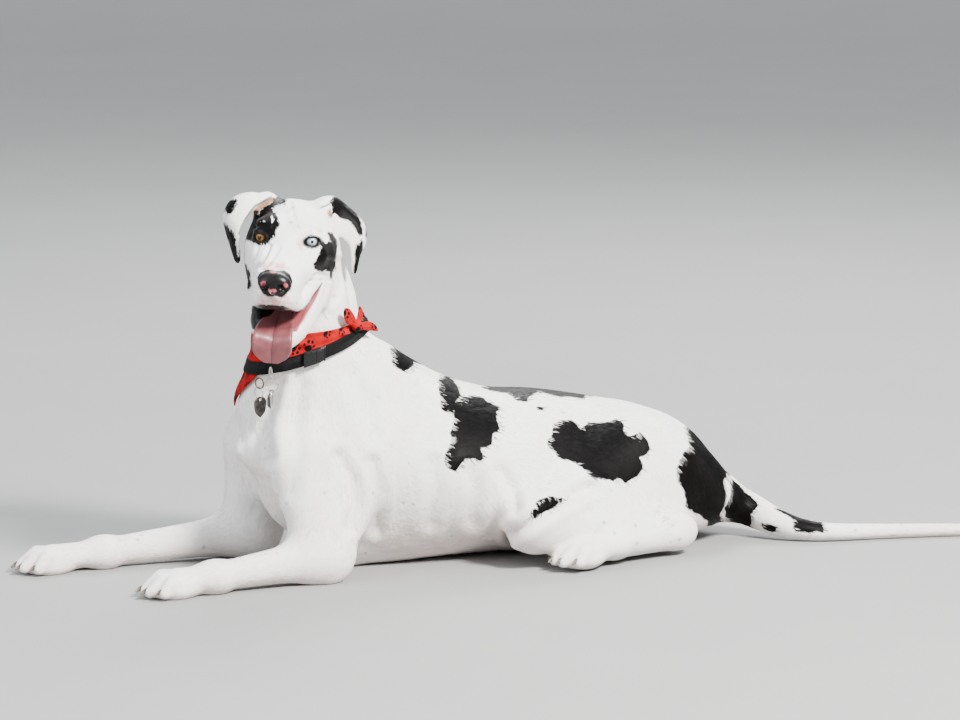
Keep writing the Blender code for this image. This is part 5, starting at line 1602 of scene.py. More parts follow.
def cotton_look():
    """Red cotton with a plain weave and black paw prints that lie at random."""
    look = Look("cotton_prints", Roughness=0.85, Specular_IOR_Level=0.15)
    cloth = look.vector("cloth")
    wave = look.node("TexNoise", {"Vector": cloth, "Scale": 190.0, "Detail": 2.0}).outputs["Color"]
    wave = look.node("VectorMath", {0: wave, 1: (0.5,) * 3}, operation="SUBTRACT").outputs[0]
    wave = look.node("VectorMath", {0: wave, 1: (0.0028,) * 3}, operation="MULTIPLY").outputs[0]
    bent = look.node("VectorMath", {0: cloth, 1: wave}, operation="ADD").outputs[0]
    scaled = look.node("VectorMath", {0: bent, 1: (PRINT_SCALE,) * 3}, operation="MULTIPLY").outputs[0]
    cells = look.node("TexVoronoi", {"Vector": scaled, "Scale": 1.0, "Randomness": 0.6}, voronoi_dimensions="2D")
    away = look.node("VectorMath", {0: scaled, 1: cells.outputs["Position"]}, operation="SUBTRACT").outputs[0]
    draw = look.node("SeparateColor", {"Color": cells.outputs["Color"]})
    turned = look.node("VectorRotate", {"Vector": away, "Angle": look.math("MULTIPLY", draw.outputs[0], 6.283)})
    turned.rotation_type = "Z_AXIS"
    size = look.math("MULTIPLY_ADD", draw.outputs[1], 0.35, 0.85)
    spot = look.node("VectorMath", {0: turned.outputs[0], "Scale": size}, operation="SCALE").outputs[0]
    pad = look.node("VectorMath", {0: spot, 1: (0.0, -0.08, 0.0)}, operation="SUBTRACT").outputs[0]
    pad = look.node("VectorMath", {0: pad, 1: (1.0, 1.3, 1.0)}, operation="MULTIPLY").outputs[0]
    inside = look.step(look.node("VectorMath", {0: pad}, operation="LENGTH").outputs["Value"], 0.215, 0.185)
    for x, y, half in PRINT_TOES:
        toe = look.node("VectorMath", {0: spot, 1: (x, y, 0.0)}, operation="DISTANCE").outputs["Value"]
        inside = look.math("MAXIMUM", inside, look.step(toe, half + 0.012, half - 0.012))
    weave = look.node("TexChecker", {"Vector": cloth, "Scale": 2600.0}).outputs["Fac"]
    fade = look.noise(cloth, 60.0, 3.0)
    red = look.mix(look.step(fade, 0.35, 0.70), (0.28, 0.0010, 0.0022), (0.38, 0.0028, 0.0036))
    red = look.mix(look.math("MULTIPLY", weave, 0.12), red, (0.22, 0.001, 0.002))
    colour = look.mix(inside, red, (0.0025, 0.0022, 0.0025))
    look.set(Base_Color=colour)
    height = look.math("ADD", look.math("MULTIPLY", weave, 0.35), look.noise(cloth, 900.0, 2.0))
    look.set(Normal=look.bump(height, 0.3, 0.0005))
    return look.material


def nylon_look():
    """Black webbing with slanting ribs."""
    look = Look("nylon_web", Roughness=0.62, Specular_IOR_Level=0.10)
    cloth = look.vector("cloth")
    parts = look.node("SeparateXYZ", {"Vector": cloth})
    slant = look.math("ADD", parts.outputs[0], look.math("ABSOLUTE", parts.outputs[1]))
    ribs = look.math("SINE", look.math("MULTIPLY", slant, 3600.0))
    worn = look.noise(cloth, 130.0, 4.0)
    colour = look.mix(look.step(worn, 0.45, 0.75), (0.0030, 0.0030, 0.0032), (0.0085, 0.0085, 0.0090))
    colour = look.mix(look.step(ribs, 0.0, 1.0), colour, (0.0050, 0.0050, 0.0055))
    look.set(Base_Color=colour, Normal=look.bump(look.math("ADD", ribs, worn), 0.5, 0.0006))
    return look.material


def plastic_look():
    look = Look("buckle_plastic", Roughness=0.38, Specular_IOR_Level=0.35)
    place = look.place()
    grain = look.noise(place, 2600.0, 2.0)
    scuff = look.noise(place, 240.0, 4.0)
    look.set(Base_Color=look.mix(look.step(scuff, 0.5, 0.75), (0.004, 0.004, 0.0045), (0.010, 0.010, 0.011)))
    look.set(Roughness=look.math("MULTIPLY_ADD", scuff, 0.30, 0.22), Normal=look.bump(grain, 0.3, 0.0003))
    return look.material


def metal_look(name, colour, dull, roughness):
    """Worn metal: brighter where it rubs, duller elsewhere, with fine scratches."""
    look = Look(name, Metallic=1.0)
    place = look.place()
    worn, fine = look.noise(place, 160.0, 4.0, 0.6), look.noise(place, 1900.0, 3.0)
    look.set(Base_Color=look.mix(look.step(worn, 0.38, 0.70), colour, dull))
    look.set(Roughness=look.math("MULTIPLY_ADD", worn, 0.25, roughness), Normal=look.bump(fine, 0.18, 0.0003))
    return look.material


def dress(obj, material, slot, *nodes):
    """Gives a piece its material, the body it rides on and the nodes that it stands for. Its slot is not used."""
    obj.data.materials.clear()
    obj.data.materials.append(material)
    for face in obj.data.polygons:
        face.use_smooth = True
    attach(obj, "root")
    if nodes:
        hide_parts(*nodes)
    return obj


EYE_RINGS, FINE_EYE_SIDES = 40, 48
CORNEA_EDGE, CORNEA_BULGE = 0.62, 0.055


def make_fine_eye(name, side, material, slot):
    """An eyeball whose clear front stands out, with its own coordinates for the iris."""
    frame = np.array(eye_frame(side))
    rings = []
    for polar in np.linspace(0.02, 2.7, EYE_RINGS):
        share = max(0.0, 1 - (polar / CORNEA_EDGE) ** 2)
        around = 2 * np.pi * np.arange(FINE_EYE_SIDES) / FINE_EYE_SIDES
        out = math.sin(polar)
        front = np.full(FINE_EYE_SIDES, math.cos(polar) + CORNEA_BULGE * share)
        rings.append(np.column_stack([front, out * np.cos(around), out * np.sin(around)]))
    rings = np.array(rings)
    obj = tube(rings * EYE_RADIUS @ frame[:3, :3].T + frame[:3, 3], name)
    put_value(obj.data, "gaze", rings.reshape(-1, 3))
    return dress(obj, material, slot, "eye_right" if side < 0 else "eye_left")


def make_fine_tongue():
    rows = []
    for x, z, half in TONGUE:
        shares = np.linspace(-1, 1, 9)
        dip = TONGUE_GROOVE * np.exp(-((shares / 0.22) ** 2)) - 0.004 * shares**2
        dip *= min(1, half / 0.028) ** 2
        rows.append([(x - d, half * share, z - d) for share, d in zip(shares, dip)])
    places = smooth_grid(rows, 33, 65)
    share = np.linspace(-1, 1, 33)
    down = np.linspace(0, 1, 65)[:, None]
    curl = 0.0010 * np.sin(share[None, :] * 3 + down * 6) * share[None, :] ** 2 * np.clip(2 - 2.4 * down, 0, 1)
    places[..., 0] += curl
    flat = from_head(places.reshape(-1, 3)).reshape(places.shape)
    obj = thick_sheet("tongue_flesh", flat, TONGUE_THICK, 0.5)
    groove = np.broadcast_to(np.exp(-((share / 0.07) ** 2)), places.shape[:2]).ravel()
    put_value(obj.data, "groove", np.concatenate([groove, groove]))
    return dress(obj, tongue_look(), "tongue", "tongue")


FINE_CLAW_SIDES = 12
# Stations of a claw: share of its length, size and drop
CLAW_SHAPE = ((-0.35, 0.95, 0.0), (0.0, 1.0, 0.0), (0.3, 0.92, 0.0), (0.6, 0.74, 0.0006), (0.85, 0.50, 0.0014), (1.0, 0.22, 0.002))


def make_claws(name, wrist, toes, half, material):
    """The four claws of a paw as one piece."""
    forward, _ = paw_axes(wrist, toes)
    made = []
    for line in toe_lines(wrist, toes, half):
        along = unit(forward - (0, 0, 0.35))
        side = unit(np.cross(along, (0, 0, 1)))
        up = np.cross(side, along)
        angles = 2 * np.pi * np.arange(FINE_CLAW_SIDES) / FINE_CLAW_SIDES
        rings = []
        for share, size, drop in CLAW_SHAPE:
            centre = line[2] + (0, 0, 0.004 - drop) + forward * CLAW_OUT + along * CLAW_LONG * share
            rings.append([centre + (np.cos(t) * side * 0.8 + np.sin(t) * up) * CLAW_RADIUS * size for t in angles])
        one = tube(rings, "claw")
        put_value(one.data, "share", np.repeat([s[0] for s in CLAW_SHAPE], FINE_CLAW_SIDES))
        made.append(one)
    piece = merged(made, name)
    return dress(piece, material, "coat")


def merged(objects, name):
    """One mesh object made of several."""
    with bpy.context.temp_override(
        active_object=objects[0], object=objects[0], selected_objects=objects, selected_editable_objects=objects
    ):
        bpy.ops.object.join()
    objects[0].name = objects[0].data.name = name
    return objects[0]


# The bandana's folds: rows of the fine strip and how deep the cloth creases
FINE_TURNS, SCARF_ROWS, SCARF_CREASE = 240, 22, 0.0022


def fine_band(name, tree, angles, edges, rows, clear, thick, closed, crease=None):
    """A strip that follows the neck, with its own flat coordinates for the weave."""
    heights = np.array([np.linspace(*edges(a), rows) for a in angles])
    out = np.array([[around_neck(tree, a, z) for z in line] for a, line in zip(angles, heights)])
    for _ in range(3):
        if closed:
            smooth = (np.roll(out, 1, 0) + np.roll(out, -1, 0) + 2 * out) / 4
        else:
            smooth = out.copy()
            smooth[1:-1] = (out[:-2] + out[2:] + 2 * out[1:-1]) / 4
        out = np.maximum(out, smooth)
    if crease is not None:
        out = out + crease(angles[:, None], np.linspace(0, 1, rows)[None, :])
    way = np.column_stack([np.cos(angles), np.sin(angles)])

    def side(extra):
        flat = np.array(NECK_LINE) + way[:, None, :] * (out + extra)[..., None]
        return np.concatenate([flat, heights[..., None]], -1)

    edge = np.zeros(rows)
    edge[[0, -1]] = thick * 0.25
    inner, outer = side(clear + edge), side(clear + thick - edge)
    obj = tube(np.concatenate([inner, outer[:, ::-1]], 1), name, closed)
    middle = (heights[:, :1] + heights[:, -1:]) / 2
    flat = np.stack([np.broadcast_to(angles[:, None] * 0.105, heights.shape), heights - middle, heights * 0], -1)
    put_value(obj.data, "cloth", np.concatenate([flat, flat[:, ::-1]], 1).reshape(-1, 3))
    return obj


def scarf_crease(angle, share):
    """How far the folds of the bandana lift it: creases that run from the knot and down to the tip."""
    turned = (np.degrees(angle) - SCARF_TIP_ANGLE + 180) % 360 - 180
    slant = np.radians(turned) * 9 + share * 7 * np.sign(turned)
    fan = np.sin(slant) + 0.6 * np.sin(slant * 1.9 + 1.3) + 0.5 * np.sin(share * 14 + np.radians(turned) * 2.5)
    # Long folds that run with the band between the knot and the throat
    along = np.abs(np.sin(share * 8.5 + 0.9 * np.sin(np.radians(turned) * 2.2))) ** 0.7
    return SCARF_CREASE * (np.maximum(fan, 0) * (0.25 + 0.75 * np.sin(np.pi * share)) * 0.7 + along * 0.6)


def make_fine_neckwear(skin):
    tree = BVHTree.FromObject(skin, bpy.context.evaluated_depsgraph_get())
    turns = 2 * np.pi * np.arange(FINE_TURNS) / FINE_TURNS
    half = COLLAR_WIDE / 2

    def strap(angle):
        return collar_height(angle) - half, collar_height(angle) + half

    lift = COAT_DEPTH
    collar = fine_band("collar_web", tree, turns, strap, 7, COLLAR_CLEAR + lift, COLLAR_THICK, True)
    dress(collar, nylon_look(), "nylon", "collar")
    start, stop = SCARF_CLEAR + lift, SCARF_THICK
    scarf = fine_band("bandana_cloth", tree, turns, scarf_heights, SCARF_ROWS, start, stop, True, scarf_crease)
    dress(scarf, cotton_look(), "cotton", "bandana")
    return tree, collar, scarf


FINE_KNOT_CELL = 0.0008
# Gathers that run out of the knot into its ends: how far off the middle line, and how deep
GATHERS = ((-0.45, 0.0007), (0.15, 0.0009), (0.6, 0.0006))


def make_fine_knot(material):
    """The tie: two flattened loops and a hanging end, gathered into the knot."""
    knot = Vector(KNOT_PLACE)
    field = Field(knot - Vector((0.06, 0.06, 0.06)), knot + Vector((0.08, 0.06, 0.06)), FINE_KNOT_CELL)
    face = unit(KNOT_FACE)
    for line, radii in KNOT_ENDS:
        end = [np.array(knot + Vector(place)) for place in line]
        field.join(curved(end, np.array(radii) - 0.0003, 14, KNOT_FACE, KNOT_FLAT), 0.002)
        across = unit(np.cross(face, end[-1] - end[0]))
        for off, deep in GATHERS:
            for lift in (-1, 1):
                crease = [p + across * off * r + face * lift * r * KNOT_FLAT for p, r in zip(end, radii)]
                field.carve(curved(crease, [deep, deep, deep * 0.6, deep * 0.3], 10), 0.0015)
    # The band of cloth that holds the ends together, with its own folds
    field.join(ball(knot, np.array(KNOT_RADII) - 0.0006), 0.0015)
    for tilt in (-0.5, 0.1, 0.7):
        ring = [
            np.array(knot) + 0.0105 * unit((math.cos(t), -math.sin(t), tilt * math.cos(t) + 0.25))
            for t in np.linspace(0.2, 2.9, 6)
        ]
        field.carve(curved(ring, [0.0008] * 6, 12), 0.002)
    obj = field.mesh("bandana_tie")
    points = points_of(obj.data)
    put_value(obj.data, "cloth", np.column_stack([points[:, 0] + 0.011, points[:, 2], points[:, 1] * 0]))
    return dress(obj, material, "cotton", "bandana_knot")


def make_fine_metal():
    """Hook, rings and bare tags, with rounder wire and turned rims than in the solids."""
    steel = metal_look("steel_worn", (0.62, 0.61, 0.59), (0.34, 0.33, 0.32), 0.20)
    bronze = metal_look("bronze_worn", (0.30, 0.18, 0.11), (0.12, 0.075, 0.05), 0.30)
    dark = metal_look("bronze_dark", (0.115, 0.10, 0.09), (0.04, 0.036, 0.034), 0.36)
    middle, face, across = hung(HOOK)
    hook = wire_ring("hook_wire", middle, face, HOOK_HALVES, HOOK_WIRE, 64, 12)
    dress(hook, steel, "steel", "collar_hook")
    middle, face, across = hung(RING_A)
    dress(split_ring("ring_wire_a", middle, across, RING_A_RADIUS), steel, "steel", "split_ring_a")
    for name, swing in zip("ab", TAG_SWING):
        swing, lean = math.radians(swing), math.radians(swing * TAG_LEAN)
        hole = middle + RING_A_RADIUS * (across * math.sin(swing) - np.array((0, 0, math.cos(swing))))
        place = hole - (0, 0, TAG_HOLE - RING_WIRE - GAP)
        obj = fine_tag("tag_plate_" + name, place, unit(face + across * lean), DISC)
        dress(obj, steel, "steel", "tag_silver_" + name)
    middle, face, across = hung(D_RING)
    ring = wire_ring("collar_ring_wire", middle, across, (D_RING_RADIUS,) * 2, D_WIRE, 64, 12)
    dress(ring, bronze, "bronze", "collar_ring")
    middle, face, across = hung(RING_B, RING_B_TWIST)
    dress(split_ring("ring_wire_b", middle, across, RING_B_RADIUS), steel, "steel", "split_ring_b")
    swing = math.radians(TAG_DARK_SWING)
    hole = middle + RING_B_RADIUS * (across * math.sin(swing) - np.array((0, 0, math.cos(swing))))
    place = hole - (0, 0, TAG_HOLE - RING_WIRE - GAP)
    dress(fine_tag("tag_plate_dark", place, face, SHIELD), dark, "dark_bronze", "tag_dark")


def split_ring(name, middle, across, radius):
    """A ring of flat wire that goes round twice."""
    normal = np.cross(across, (0, 0, 1))
    wire, rings = RING_WIRE * 0.62, []
    turns = 2 * np.pi * np.arange(8) / 8
    for t in np.linspace(0, 4 * np.pi - 0.15, 129):
        out = across * math.cos(t) + np.array((0, 0, math.sin(t)))
        shift = (t / (4 * np.pi) - 0.5) * RING_WIRE * 1.1
        centre = middle + out * radius + normal * shift
        rings.append([centre + wire * (out * math.cos(k) * 1.3 + normal * math.sin(k) * 0.8) for k in turns])
    return tube(rings, name)


def fine_tag(name, hole, across, outline):
    """A bare tag with a smooth outline, a bevelled edge and a raised rim round its face."""
    normal = np.cross(across, (0, 0, 1))
    half = np.array(outline)
    table = np.column_stack([np.arange(len(half)), half])
    at = np.linspace(0, len(half) - 1, 33)
    smooth = np.column_stack([flowing(at, table, k) for k in (1, 2)])
    full = np.concatenate([smooth, (smooth * (-1, 1))[-2:0:-1]])
    middle = full.mean(0)
    count = len(full)
    turns = np.pi / 2 - 2 * np.pi * np.arange(count) / count
    rim = TAG_HOLE * np.column_stack([np.cos(turns), np.sin(turns)])
    rings = []
    for side in (1, -1):
        profile = ((0.0, 0.30), (1.0, 0.42), (0.95, 0.50), (0.86, 0.50), (0.82, 0.36), (0.0, 0.36))
        steps = profile[1:5] if side > 0 else profile[4:0:-1]
        around = [(middle + (full - middle) * k, h) for k, h in steps]
        bore = [(rim, 0.36)]
        rings += [(p, side * h) for p, h in (around + bore if side > 0 else bore + around)]
    rings = [[hole + across * x + (0, 0, z) + normal * h * TAG_THICK for x, z in p] for p, h in rings]
    return tube(rings, name, True)


def make_fine_buckle(tree):
    """A side-release buckle: the frame, the two prongs in its windows and the strap's loops at both ends."""
    plastic = plastic_look()
    start, stop = np.radians(BUCKLE_ANGLES)
    low = COLLAR_CLEAR + COAT_DEPTH + COLLAR_THICK + 2 * GAP
    pieces = []

    def arc(name, a, b, share_low, share_high, deep, high, count=17):
        def edges(angle):
            return (
                collar_height(angle) - BUCKLE_WIDE / 2 + BUCKLE_WIDE * share_low,
                collar_height(angle) - BUCKLE_WIDE / 2 + BUCKLE_WIDE * share_high,
            )

        angles = np.linspace(start + (stop - start) * a, start + (stop - start) * b, count)
        obj = fine_band(name, tree, angles, edges, 9, low + deep, high - deep, False)
        pieces.append(obj)
        return obj

    arc("plate", 0.02, 0.98, 0.10, 0.90, 0.0, BUCKLE_THICK * 0.62)
    arc("female", 0.00, 0.55, 0.02, 0.98, 0.0002, BUCKLE_THICK * 0.92)
    arc("male", 0.60, 1.00, 0.06, 0.94, 0.0002, BUCKLE_THICK * 0.80)
    for share in (0.0, 0.86):
        arc("prong", 0.40, 0.78, share + 0.01, share + 0.13, 0.0004, BUCKLE_THICK * 0.84)
    arc("bar", 0.96, 1.00, 0.0, 1.0, 0.0, BUCKLE_THICK)
    arc("bar", 0.00, 0.05, 0.0, 1.0, 0.0, BUCKLE_THICK)
    obj = merged(pieces, "buckle_clip")
    modifier = obj.modifiers.new("edge", "BEVEL")
    modifier.width, modifier.segments, modifier.limit_method = 0.0005, 2, "ANGLE"
    evaluated(obj)
    dress(obj, plastic, "buckle", "collar_buckle")


# Coat: tufts lie on the skin. Per region: how far apart, length, width and height above the skin, in metres
TUFTS = {
    "body": (0.0048, 0.0130, 0.0010, 0.00050),
    "leg": (0.0043, 0.0105, 0.0009, 0.00045),
    "foot": (0.0038, 0.0065, 0.0008, 0.00035),
    "tail": (0.0036, 0.0115, 0.0010, 0.00055),
    "head": (0.0029, 0.0054, 0.0007, 0.00026),
    "ear": (0.0029, 0.0060, 0.0007, 0.00032),
}
ROOT_DEEP = 0.0006
PATCH_UV = 0.003
# Lines about which each region's skin is unwrapped
AXES = {
    "trunk_left": ((-0.15, 0, 0.14), (0.70, 0, 0.10)),
    "trunk_right": ((-0.15, 0, 0.14), (0.70, 0, 0.10)),
    "neck": ((-0.04, 0, 0.20), (-0.04, 0, 0.48)),
    "foreleg_left": LEFT_FORELEG,
    "foreleg_right": RIGHT_FORELEG,
    "hindleg_left": ((0.56, -0.10, 0.10), (0.30, -0.16, 0.08)),
    "hindleg_right": ((0.56, 0.10, 0.10), (0.30, 0.16, 0.08)),
    "hindfoot_left": hind_foot(-1),
    "hindfoot_right": hind_foot(1),
    "tail": TAIL,
}
REGION_KINDS = {"foreleg": "leg", "hindleg": "body", "hindfoot": "foot", "trunk": "body", "neck": "body"}


def regions_of(points):
    """The region of the coat that each point belongs to."""
    frame = np.array(head_frame())
    inner = (points - frame[:3, 3]) @ frame[:3, :3]
    x, y, z = points.T
    side = np.where(y < 0, "left", "right")
    made = np.char.add("trunk_", side).astype("<U16")
    outer = np.abs(y) > 0.105
    made = np.where(outer & (x > 0.24) & (x < 0.56) & (z < 0.15), np.char.add("hindleg_", side), made)
    made = np.where(outer & (x > 0.24) & (x < 0.56) & (z < 0.062), np.char.add("hindfoot_", side), made)
    made = np.where((x < -0.095) & (z < 0.115), np.char.add("foreleg_", side), made)
    made = np.where((z > 0.300) & (x < 0.12), "neck", made)
    normal = unit(SEAM_NORMAL)
    above = (points - np.array(SEAM_PLACE)) @ normal > 0.085
    made = np.where(above, "head", made)
    ear = above & (np.abs(inner[:, 1]) > 0.066)
    made = np.where(ear, np.where(inner[:, 1] > 0, "ear_left", "ear_right"), made)
    return np.where(x > 0.70, "tail", made)


def unwrapped(points, line):
    """Places on the unwrap of a region: turn about a line, and share of its length."""
    line = np.array(line, float)
    steps = np.linalg.norm(np.diff(line, axis=0), axis=1)
    best = np.full(len(points), 1e9)
    turn, share = np.zeros(len(points)), np.zeros(len(points))
    before = 0.0
    for a, b, step in zip(line, line[1:], steps):
        along = (b - a) / step
        t = np.clip((points - a) @ along, 0, step)
        away = points - a - t[:, None] * along
        far = np.linalg.norm(away, axis=1)
        up = unit(np.cross(along, np.cross((0.1, 0.2, 1.0), along)))
        around = np.arctan2(away @ np.cross(along, up), away @ up)
        closer = far < best
        best = np.where(closer, far, best)
        turn = np.where(closer, around, turn)
        share = np.where(closer, (before + (points - a) @ along) / steps.sum(), share)
        before += step
    return np.column_stack([turn / (2 * np.pi) + 0.5, (share + 0.25) / 1.5])


def region_unwrap(region, points):
    if region == "head":
        return unwrapped(points, from_head(((-0.10, 0, -0.02), (0.20, 0, -0.04))))
    if region.startswith("ear"):
        return unwrapped(points, from_head([row[1] for row in (EAR_RIGHT if "right" in region else EAR_LEFT)]))
    return unwrapped(points, AXES[region])


def barycentric(draw, count):
    a, b = draw.random(count), draw.random(count)
    flip = a + b > 1
    a, b = np.where(flip, 1 - a, a), np.where(flip, 1 - b, b)
    return np.column_stack([1 - a - b, a, b])


CARRIED = ("patch", "nose_pink", "dark", "pink", "tan", "grey")


def sample_skin(skin, draw):
    """Roots of the tufts spread over the skin: their places and all that the skin stores there."""
    mesh = skin.data
    mesh.calc_loop_triangles()
    count = len(mesh.loop_triangles)
    corners = np.empty(count * 3, np.int32)
    mesh.loop_triangles.foreach_get("vertices", corners)
    corners = corners.reshape(-1, 3)
    points, normals = points_of(mesh).astype(float), normals_of(mesh).astype(float)
    a, b, c = (points[corners[:, k]] for k in range(3))
    areas = np.linalg.norm(np.cross(b - a, c - a), axis=1) / 2
    regions = regions_of((a + b + c) / 3)
    kinds = np.array([kind_of(r) for r in np.unique(regions)])
    spacing = np.array([TUFTS[k][0] for k in kinds])[np.unique(regions, return_inverse=True)[1].reshape(-1)]
    wanted = areas / spacing**2
    whole = np.floor(wanted + draw.random(count)).astype(int)
    chosen = np.repeat(np.arange(count), whole)
    weights = barycentric(draw, len(chosen))

    def carried(values):
        picked = values[corners[chosen]]
        return np.einsum("nk,nk...->n...", weights, picked)

    found = {"place": carried(points), "normal": carried(normals), "region": regions[chosen]}
    for name in (*CARRIED, "nose", "grain", "lie"):
        layer = mesh.attributes[name]
        vector = layer.data_type == "FLOAT_VECTOR"
        values = np.empty(len(mesh.vertices) * (3 if vector else 1), np.float32)
        layer.data.foreach_get("vector" if vector else "value", values)
        found[name] = carried(values.reshape(-1, 3) if vector else values)
    return found


def kind_of(region):
    if region == "head" or region == "tail":
        return region
    stem = region.split("_")[0]
    return REGION_KINDS.get(stem, stem)


def worn_over(points):
    """Where the collar and the bandana press the coat flat."""
    angle = np.arctan2(points[:, 1] - NECK_LINE[1], points[:, 0] - NECK_LINE[0])
    heights = np.array([scarf_heights(t) for t in angle])
    strap = COLLAR_HEIGHT + COLLAR_SLOPE * np.cos(angle) - COLLAR_WIDE / 2
    return (points[:, 2] > np.minimum(heights[:, 0], strap) - 0.008) & (points[:, 2] < heights[:, 1] + 0.004)


def make_coat(skin, material):
    draw = np.random.default_rng(11)
    found = sample_skin(skin, draw)
    bare = (found["nose"] > 0.2) | (found["dark"] > 0.15) | (found["tan"] > 0.4)
    bare |= (found["place"][:, 2] < 0.004) | (np.linalg.norm(found["lie"], axis=1) < 0.3)
    bare |= worn_over(found["place"]) & (found["place"][:, 2] > 0.2)
    found = {key: values[~bare] for key, values in found.items()}
    tree = BVHTree.FromObject(skin, bpy.context.evaluated_depsgraph_get())
    for region in np.unique(found["region"]):
        mine = {key: values[found["region"] == region] for key, values in found.items()}
        make_tufts("coat_" + region, region, mine, tree, material, draw)


def settled(tree, places, height):
    """Places moved to a height over the skin, along its normals."""
    made = []
    for place, h in zip(places, height):
        near, normal, _, _ = tree.find_nearest(Vector(place))
        made.append(near + normal * h)
    return np.array(made)


def make_tufts(name, region, mine, tree, material, draw):
    """Closed, flat slivers that lie along the coat, as one object."""
    _, long, wide, high = TUFTS[kind_of(region)]
    count = len(mine["place"])
    normal = mine["normal"] / np.linalg.norm(mine["normal"], axis=1, keepdims=True)
    way = mine["lie"] + draw.normal(size=(count, 3)) * 0.09
    way -= np.sum(way * normal, axis=1, keepdims=True) * normal
    way /= np.linalg.norm(way, axis=1, keepdims=True)
    across = np.cross(normal, way)
    size = draw.uniform(0.75, 1.25, count)[:, None]
    root = mine["place"]
    mid = settled(tree, root + way * long * 0.45 * size, high * draw.uniform(0.75, 1.1, count))
    tip = settled(tree, root + way * long * size, high * draw.uniform(0.2, 1.5, count))
    half = wide * size / 2
    root = root - normal * ROOT_DEEP
    rings = [
        root - across * half * 0.8, root + across * half * 0.8, root + normal * high * 0.5,
        mid - across * half - normal * high * 0.7, mid + across * half - normal * high * 0.7, mid, tip,
    ]  # fmt: skip
    points = np.stack(rings, 1)
    pattern = np.array(
        ((0, 1, 4), (0, 4, 3), (1, 2, 5), (1, 5, 4), (2, 0, 3), (2, 3, 5), (3, 4, 6), (4, 5, 6), (5, 3, 6), (0, 2, 1))
    )
    faces = (np.arange(count)[:, None, None] * 7 + pattern).reshape(-1, 3)
    mesh = bpy.data.meshes.new(name)
    mesh.from_pydata(points.reshape(-1, 3).tolist(), [], faces.tolist())
    per = np.repeat(np.arange(count), 7)
    for key in CARRIED:
        put_value(mesh, key, mine[key][per])
    put_value(mesh, "nose", np.zeros(len(per)))
    drift = (points - root[:, None, :]).reshape(-1, 3)
    put_value(mesh, "grain", mine["grain"][per] + drift * 0.3)
    layout = np.array(((0.2, 0.1), (0.8, 0.1), (0.5, 0.2), (0.2, 0.5), (0.8, 0.5), (0.5, 0.5), (0.5, 0.9)))
    base = np.clip(region_unwrap(region, mine["place"]), 0.004, 0.994)
    uv = (base[:, None, :] + (layout - 0.5) * PATCH_UV).reshape(-1, 2)
    layer = mesh.uv_layers.new(name="OFBake")
    loops = np.empty(len(mesh.loops), np.int32)
    mesh.loops.foreach_get("vertex_index", loops)
    layer.data.foreach_set("uv", uv[loops].astype(np.float32).ravel())
    obj = bpy.data.objects.new(name, mesh)
    bpy.context.scene.collection.objects.link(obj)
    dress(obj, material, "coat")
    # Tufts take the skin's own normals, so that light falls on them as on the skin
    mesh.normals_split_custom_set_from_vertices(normal[per].tolist())
    return obj


STAGE_RADIUS, STAGE_RISE, STAGE_FLAT = 15.0, 6.0, 0.55
STAGE_RINGS, STAGE_SIDES = 50, 96


def make_stage():
    """A plain pale floor with its far edge rolled up all round."""
    places, faces = [(0.0, 0.0, 0.0)], []
    for i in range(1, STAGE_RINGS + 1):
        share = i / STAGE_RINGS
        rise = STAGE_RISE * max(0.0, (share - STAGE_FLAT) / (1 - STAGE_FLAT)) ** 2.2
        for turn in 2 * np.pi * np.arange(STAGE_SIDES) / STAGE_SIDES:
            places.append((STAGE_RADIUS * share * math.cos(turn), STAGE_RADIUS * share * math.sin(turn), rise))
    for j in range(STAGE_SIDES):
        after = (j + 1) % STAGE_SIDES
        faces.append((0, 1 + j, 1 + after))
        for i in range(STAGE_RINGS - 1):
            a = 1 + i * STAGE_SIDES
            faces.append((a + j, a + STAGE_SIDES + j, a + STAGE_SIDES + after, a + after))
    mesh = bpy.data.meshes.new("floor")
    mesh.from_pydata(places, [], faces)
    floor = bpy.data.objects.new("floor", mesh)
    bpy.context.scene.collection.objects.link(floor)
    for face in mesh.polygons:
        face.use_smooth = True
    look = Look("floor", Roughness=0.8, Specular_IOR_Level=0.2)
    broad = look.noise(look.place(), 2.5, 3.0)
    look.set(Base_Color=look.mix(broad, (0.27, 0.27, 0.265), (0.30, 0.30, 0.295)))
    look.set(Normal=look.bump(look.noise(look.place(), 300.0, 2.0), 0.1, 0.001))
    mesh.materials.append(look.material)


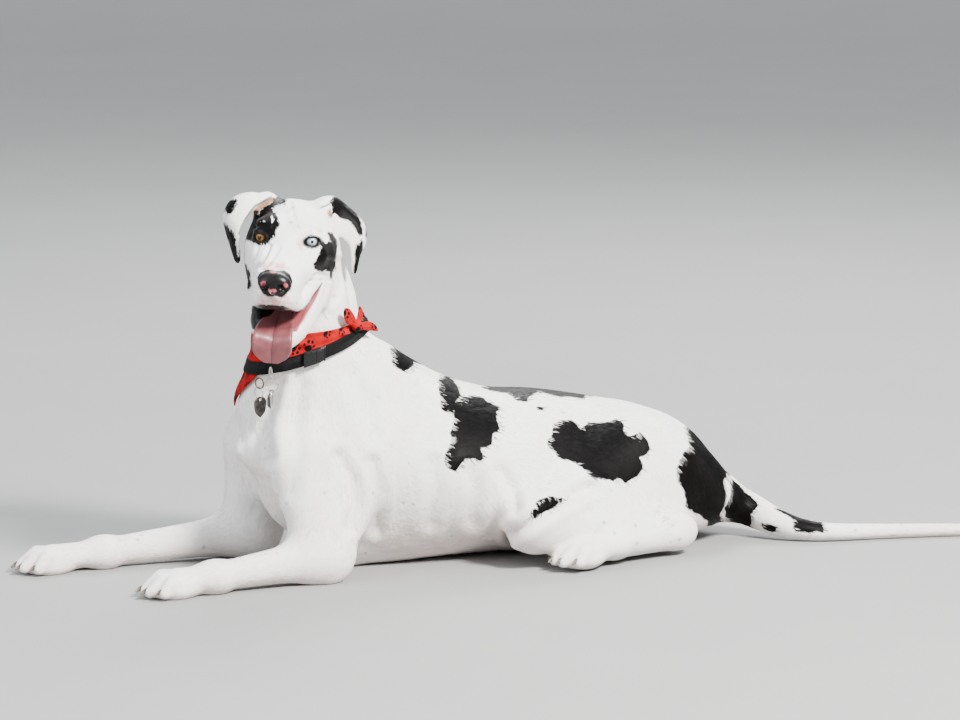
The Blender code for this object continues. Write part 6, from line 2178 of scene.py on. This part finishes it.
# Lights: name, place to the right of, behind and above the dog, size, power, colour
LIGHTS = (
    ("key", (2.6, -3.2, 3.4), 1.1, 1050.0, (1.0, 0.98, 0.95)),
    ("fill", (-3.4, -2.6, 1.8), 2.6, 110.0, (0.92, 0.96, 1.0)),
    ("rim", (0.6, 3.2, 3.0), 2.0, 260.0, (1.0, 1.0, 1.0)),
)
AIM = (0.25, 0.0, 0.20)


def make_lights():
    deep = np.array((-BACK[0], -BACK[1], 0.0))
    for name, (right, back, up), size, power, colour in LIGHTS:
        data = bpy.data.lights.new(name, "AREA")
        data.energy, data.size, data.color = power, size, colour
        lamp = bpy.data.objects.new(name, data)
        bpy.context.scene.collection.objects.link(lamp)
        place = np.array(AIM) + RIGHT * right + deep * back + (0, 0, up)
        lamp.location = place
        lamp.rotation_euler = (Vector(AIM) - Vector(place)).to_track_quat("-Z", "Y").to_euler()
    world = bpy.data.worlds.new("studio")
    bpy.context.scene.world = world
    world.use_nodes = True
    ground = world.node_tree.nodes["Background"]
    ground.inputs["Color"].default_value = (0.90, 0.95, 1.0, 1)
    ground.inputs["Strength"].default_value = 1.45


def make_dog():
    skin = make_skin()
    fold_skin(skin)
    mark_skin(skin)
    dress(skin, coat_look("coat_skin", False), "coat", *FLESH)
    amber = eye_look("eye_amber", (0.32, 0.145, 0.022), (0.20, 0.075, 0.012), (0.03, 0.014, 0.005), 0.27)
    blue = eye_look("eye_blue", (0.50, 0.59, 0.64), (0.32, 0.43, 0.51), (0.05, 0.07, 0.09), 0.20)
    make_fine_eye("eyeball_right", -1, amber, "eye_amber")
    make_fine_eye("eyeball_left", 1, blue, "eye_blue")
    make_fine_tongue()
    horn = claw_look()
    make_claws("claws_fore_left", *LEFT_FORELEG[1:], FORE_PAW_HALF, horn)
    make_claws("claws_fore_right", *RIGHT_FORELEG[1:], FORE_PAW_HALF, horn)
    make_claws("claws_hind_left", *hind_foot(-1)[1:], HIND_PAW_HALF, horn)
    make_claws("claws_hind_right", *hind_foot(1)[1:], HIND_PAW_HALF, horn)
    make_coat(skin, coat_look("coat_hair", True))
    tree, collar, scarf = make_fine_neckwear(skin)
    knot = make_fine_knot(scarf.data.materials[0])
    make_fine_buckle(tree)
    make_fine_metal()
    skin.name = skin.data.name = "coat_skin"


make_dog()
make_stage()
make_camera()
make_lights()
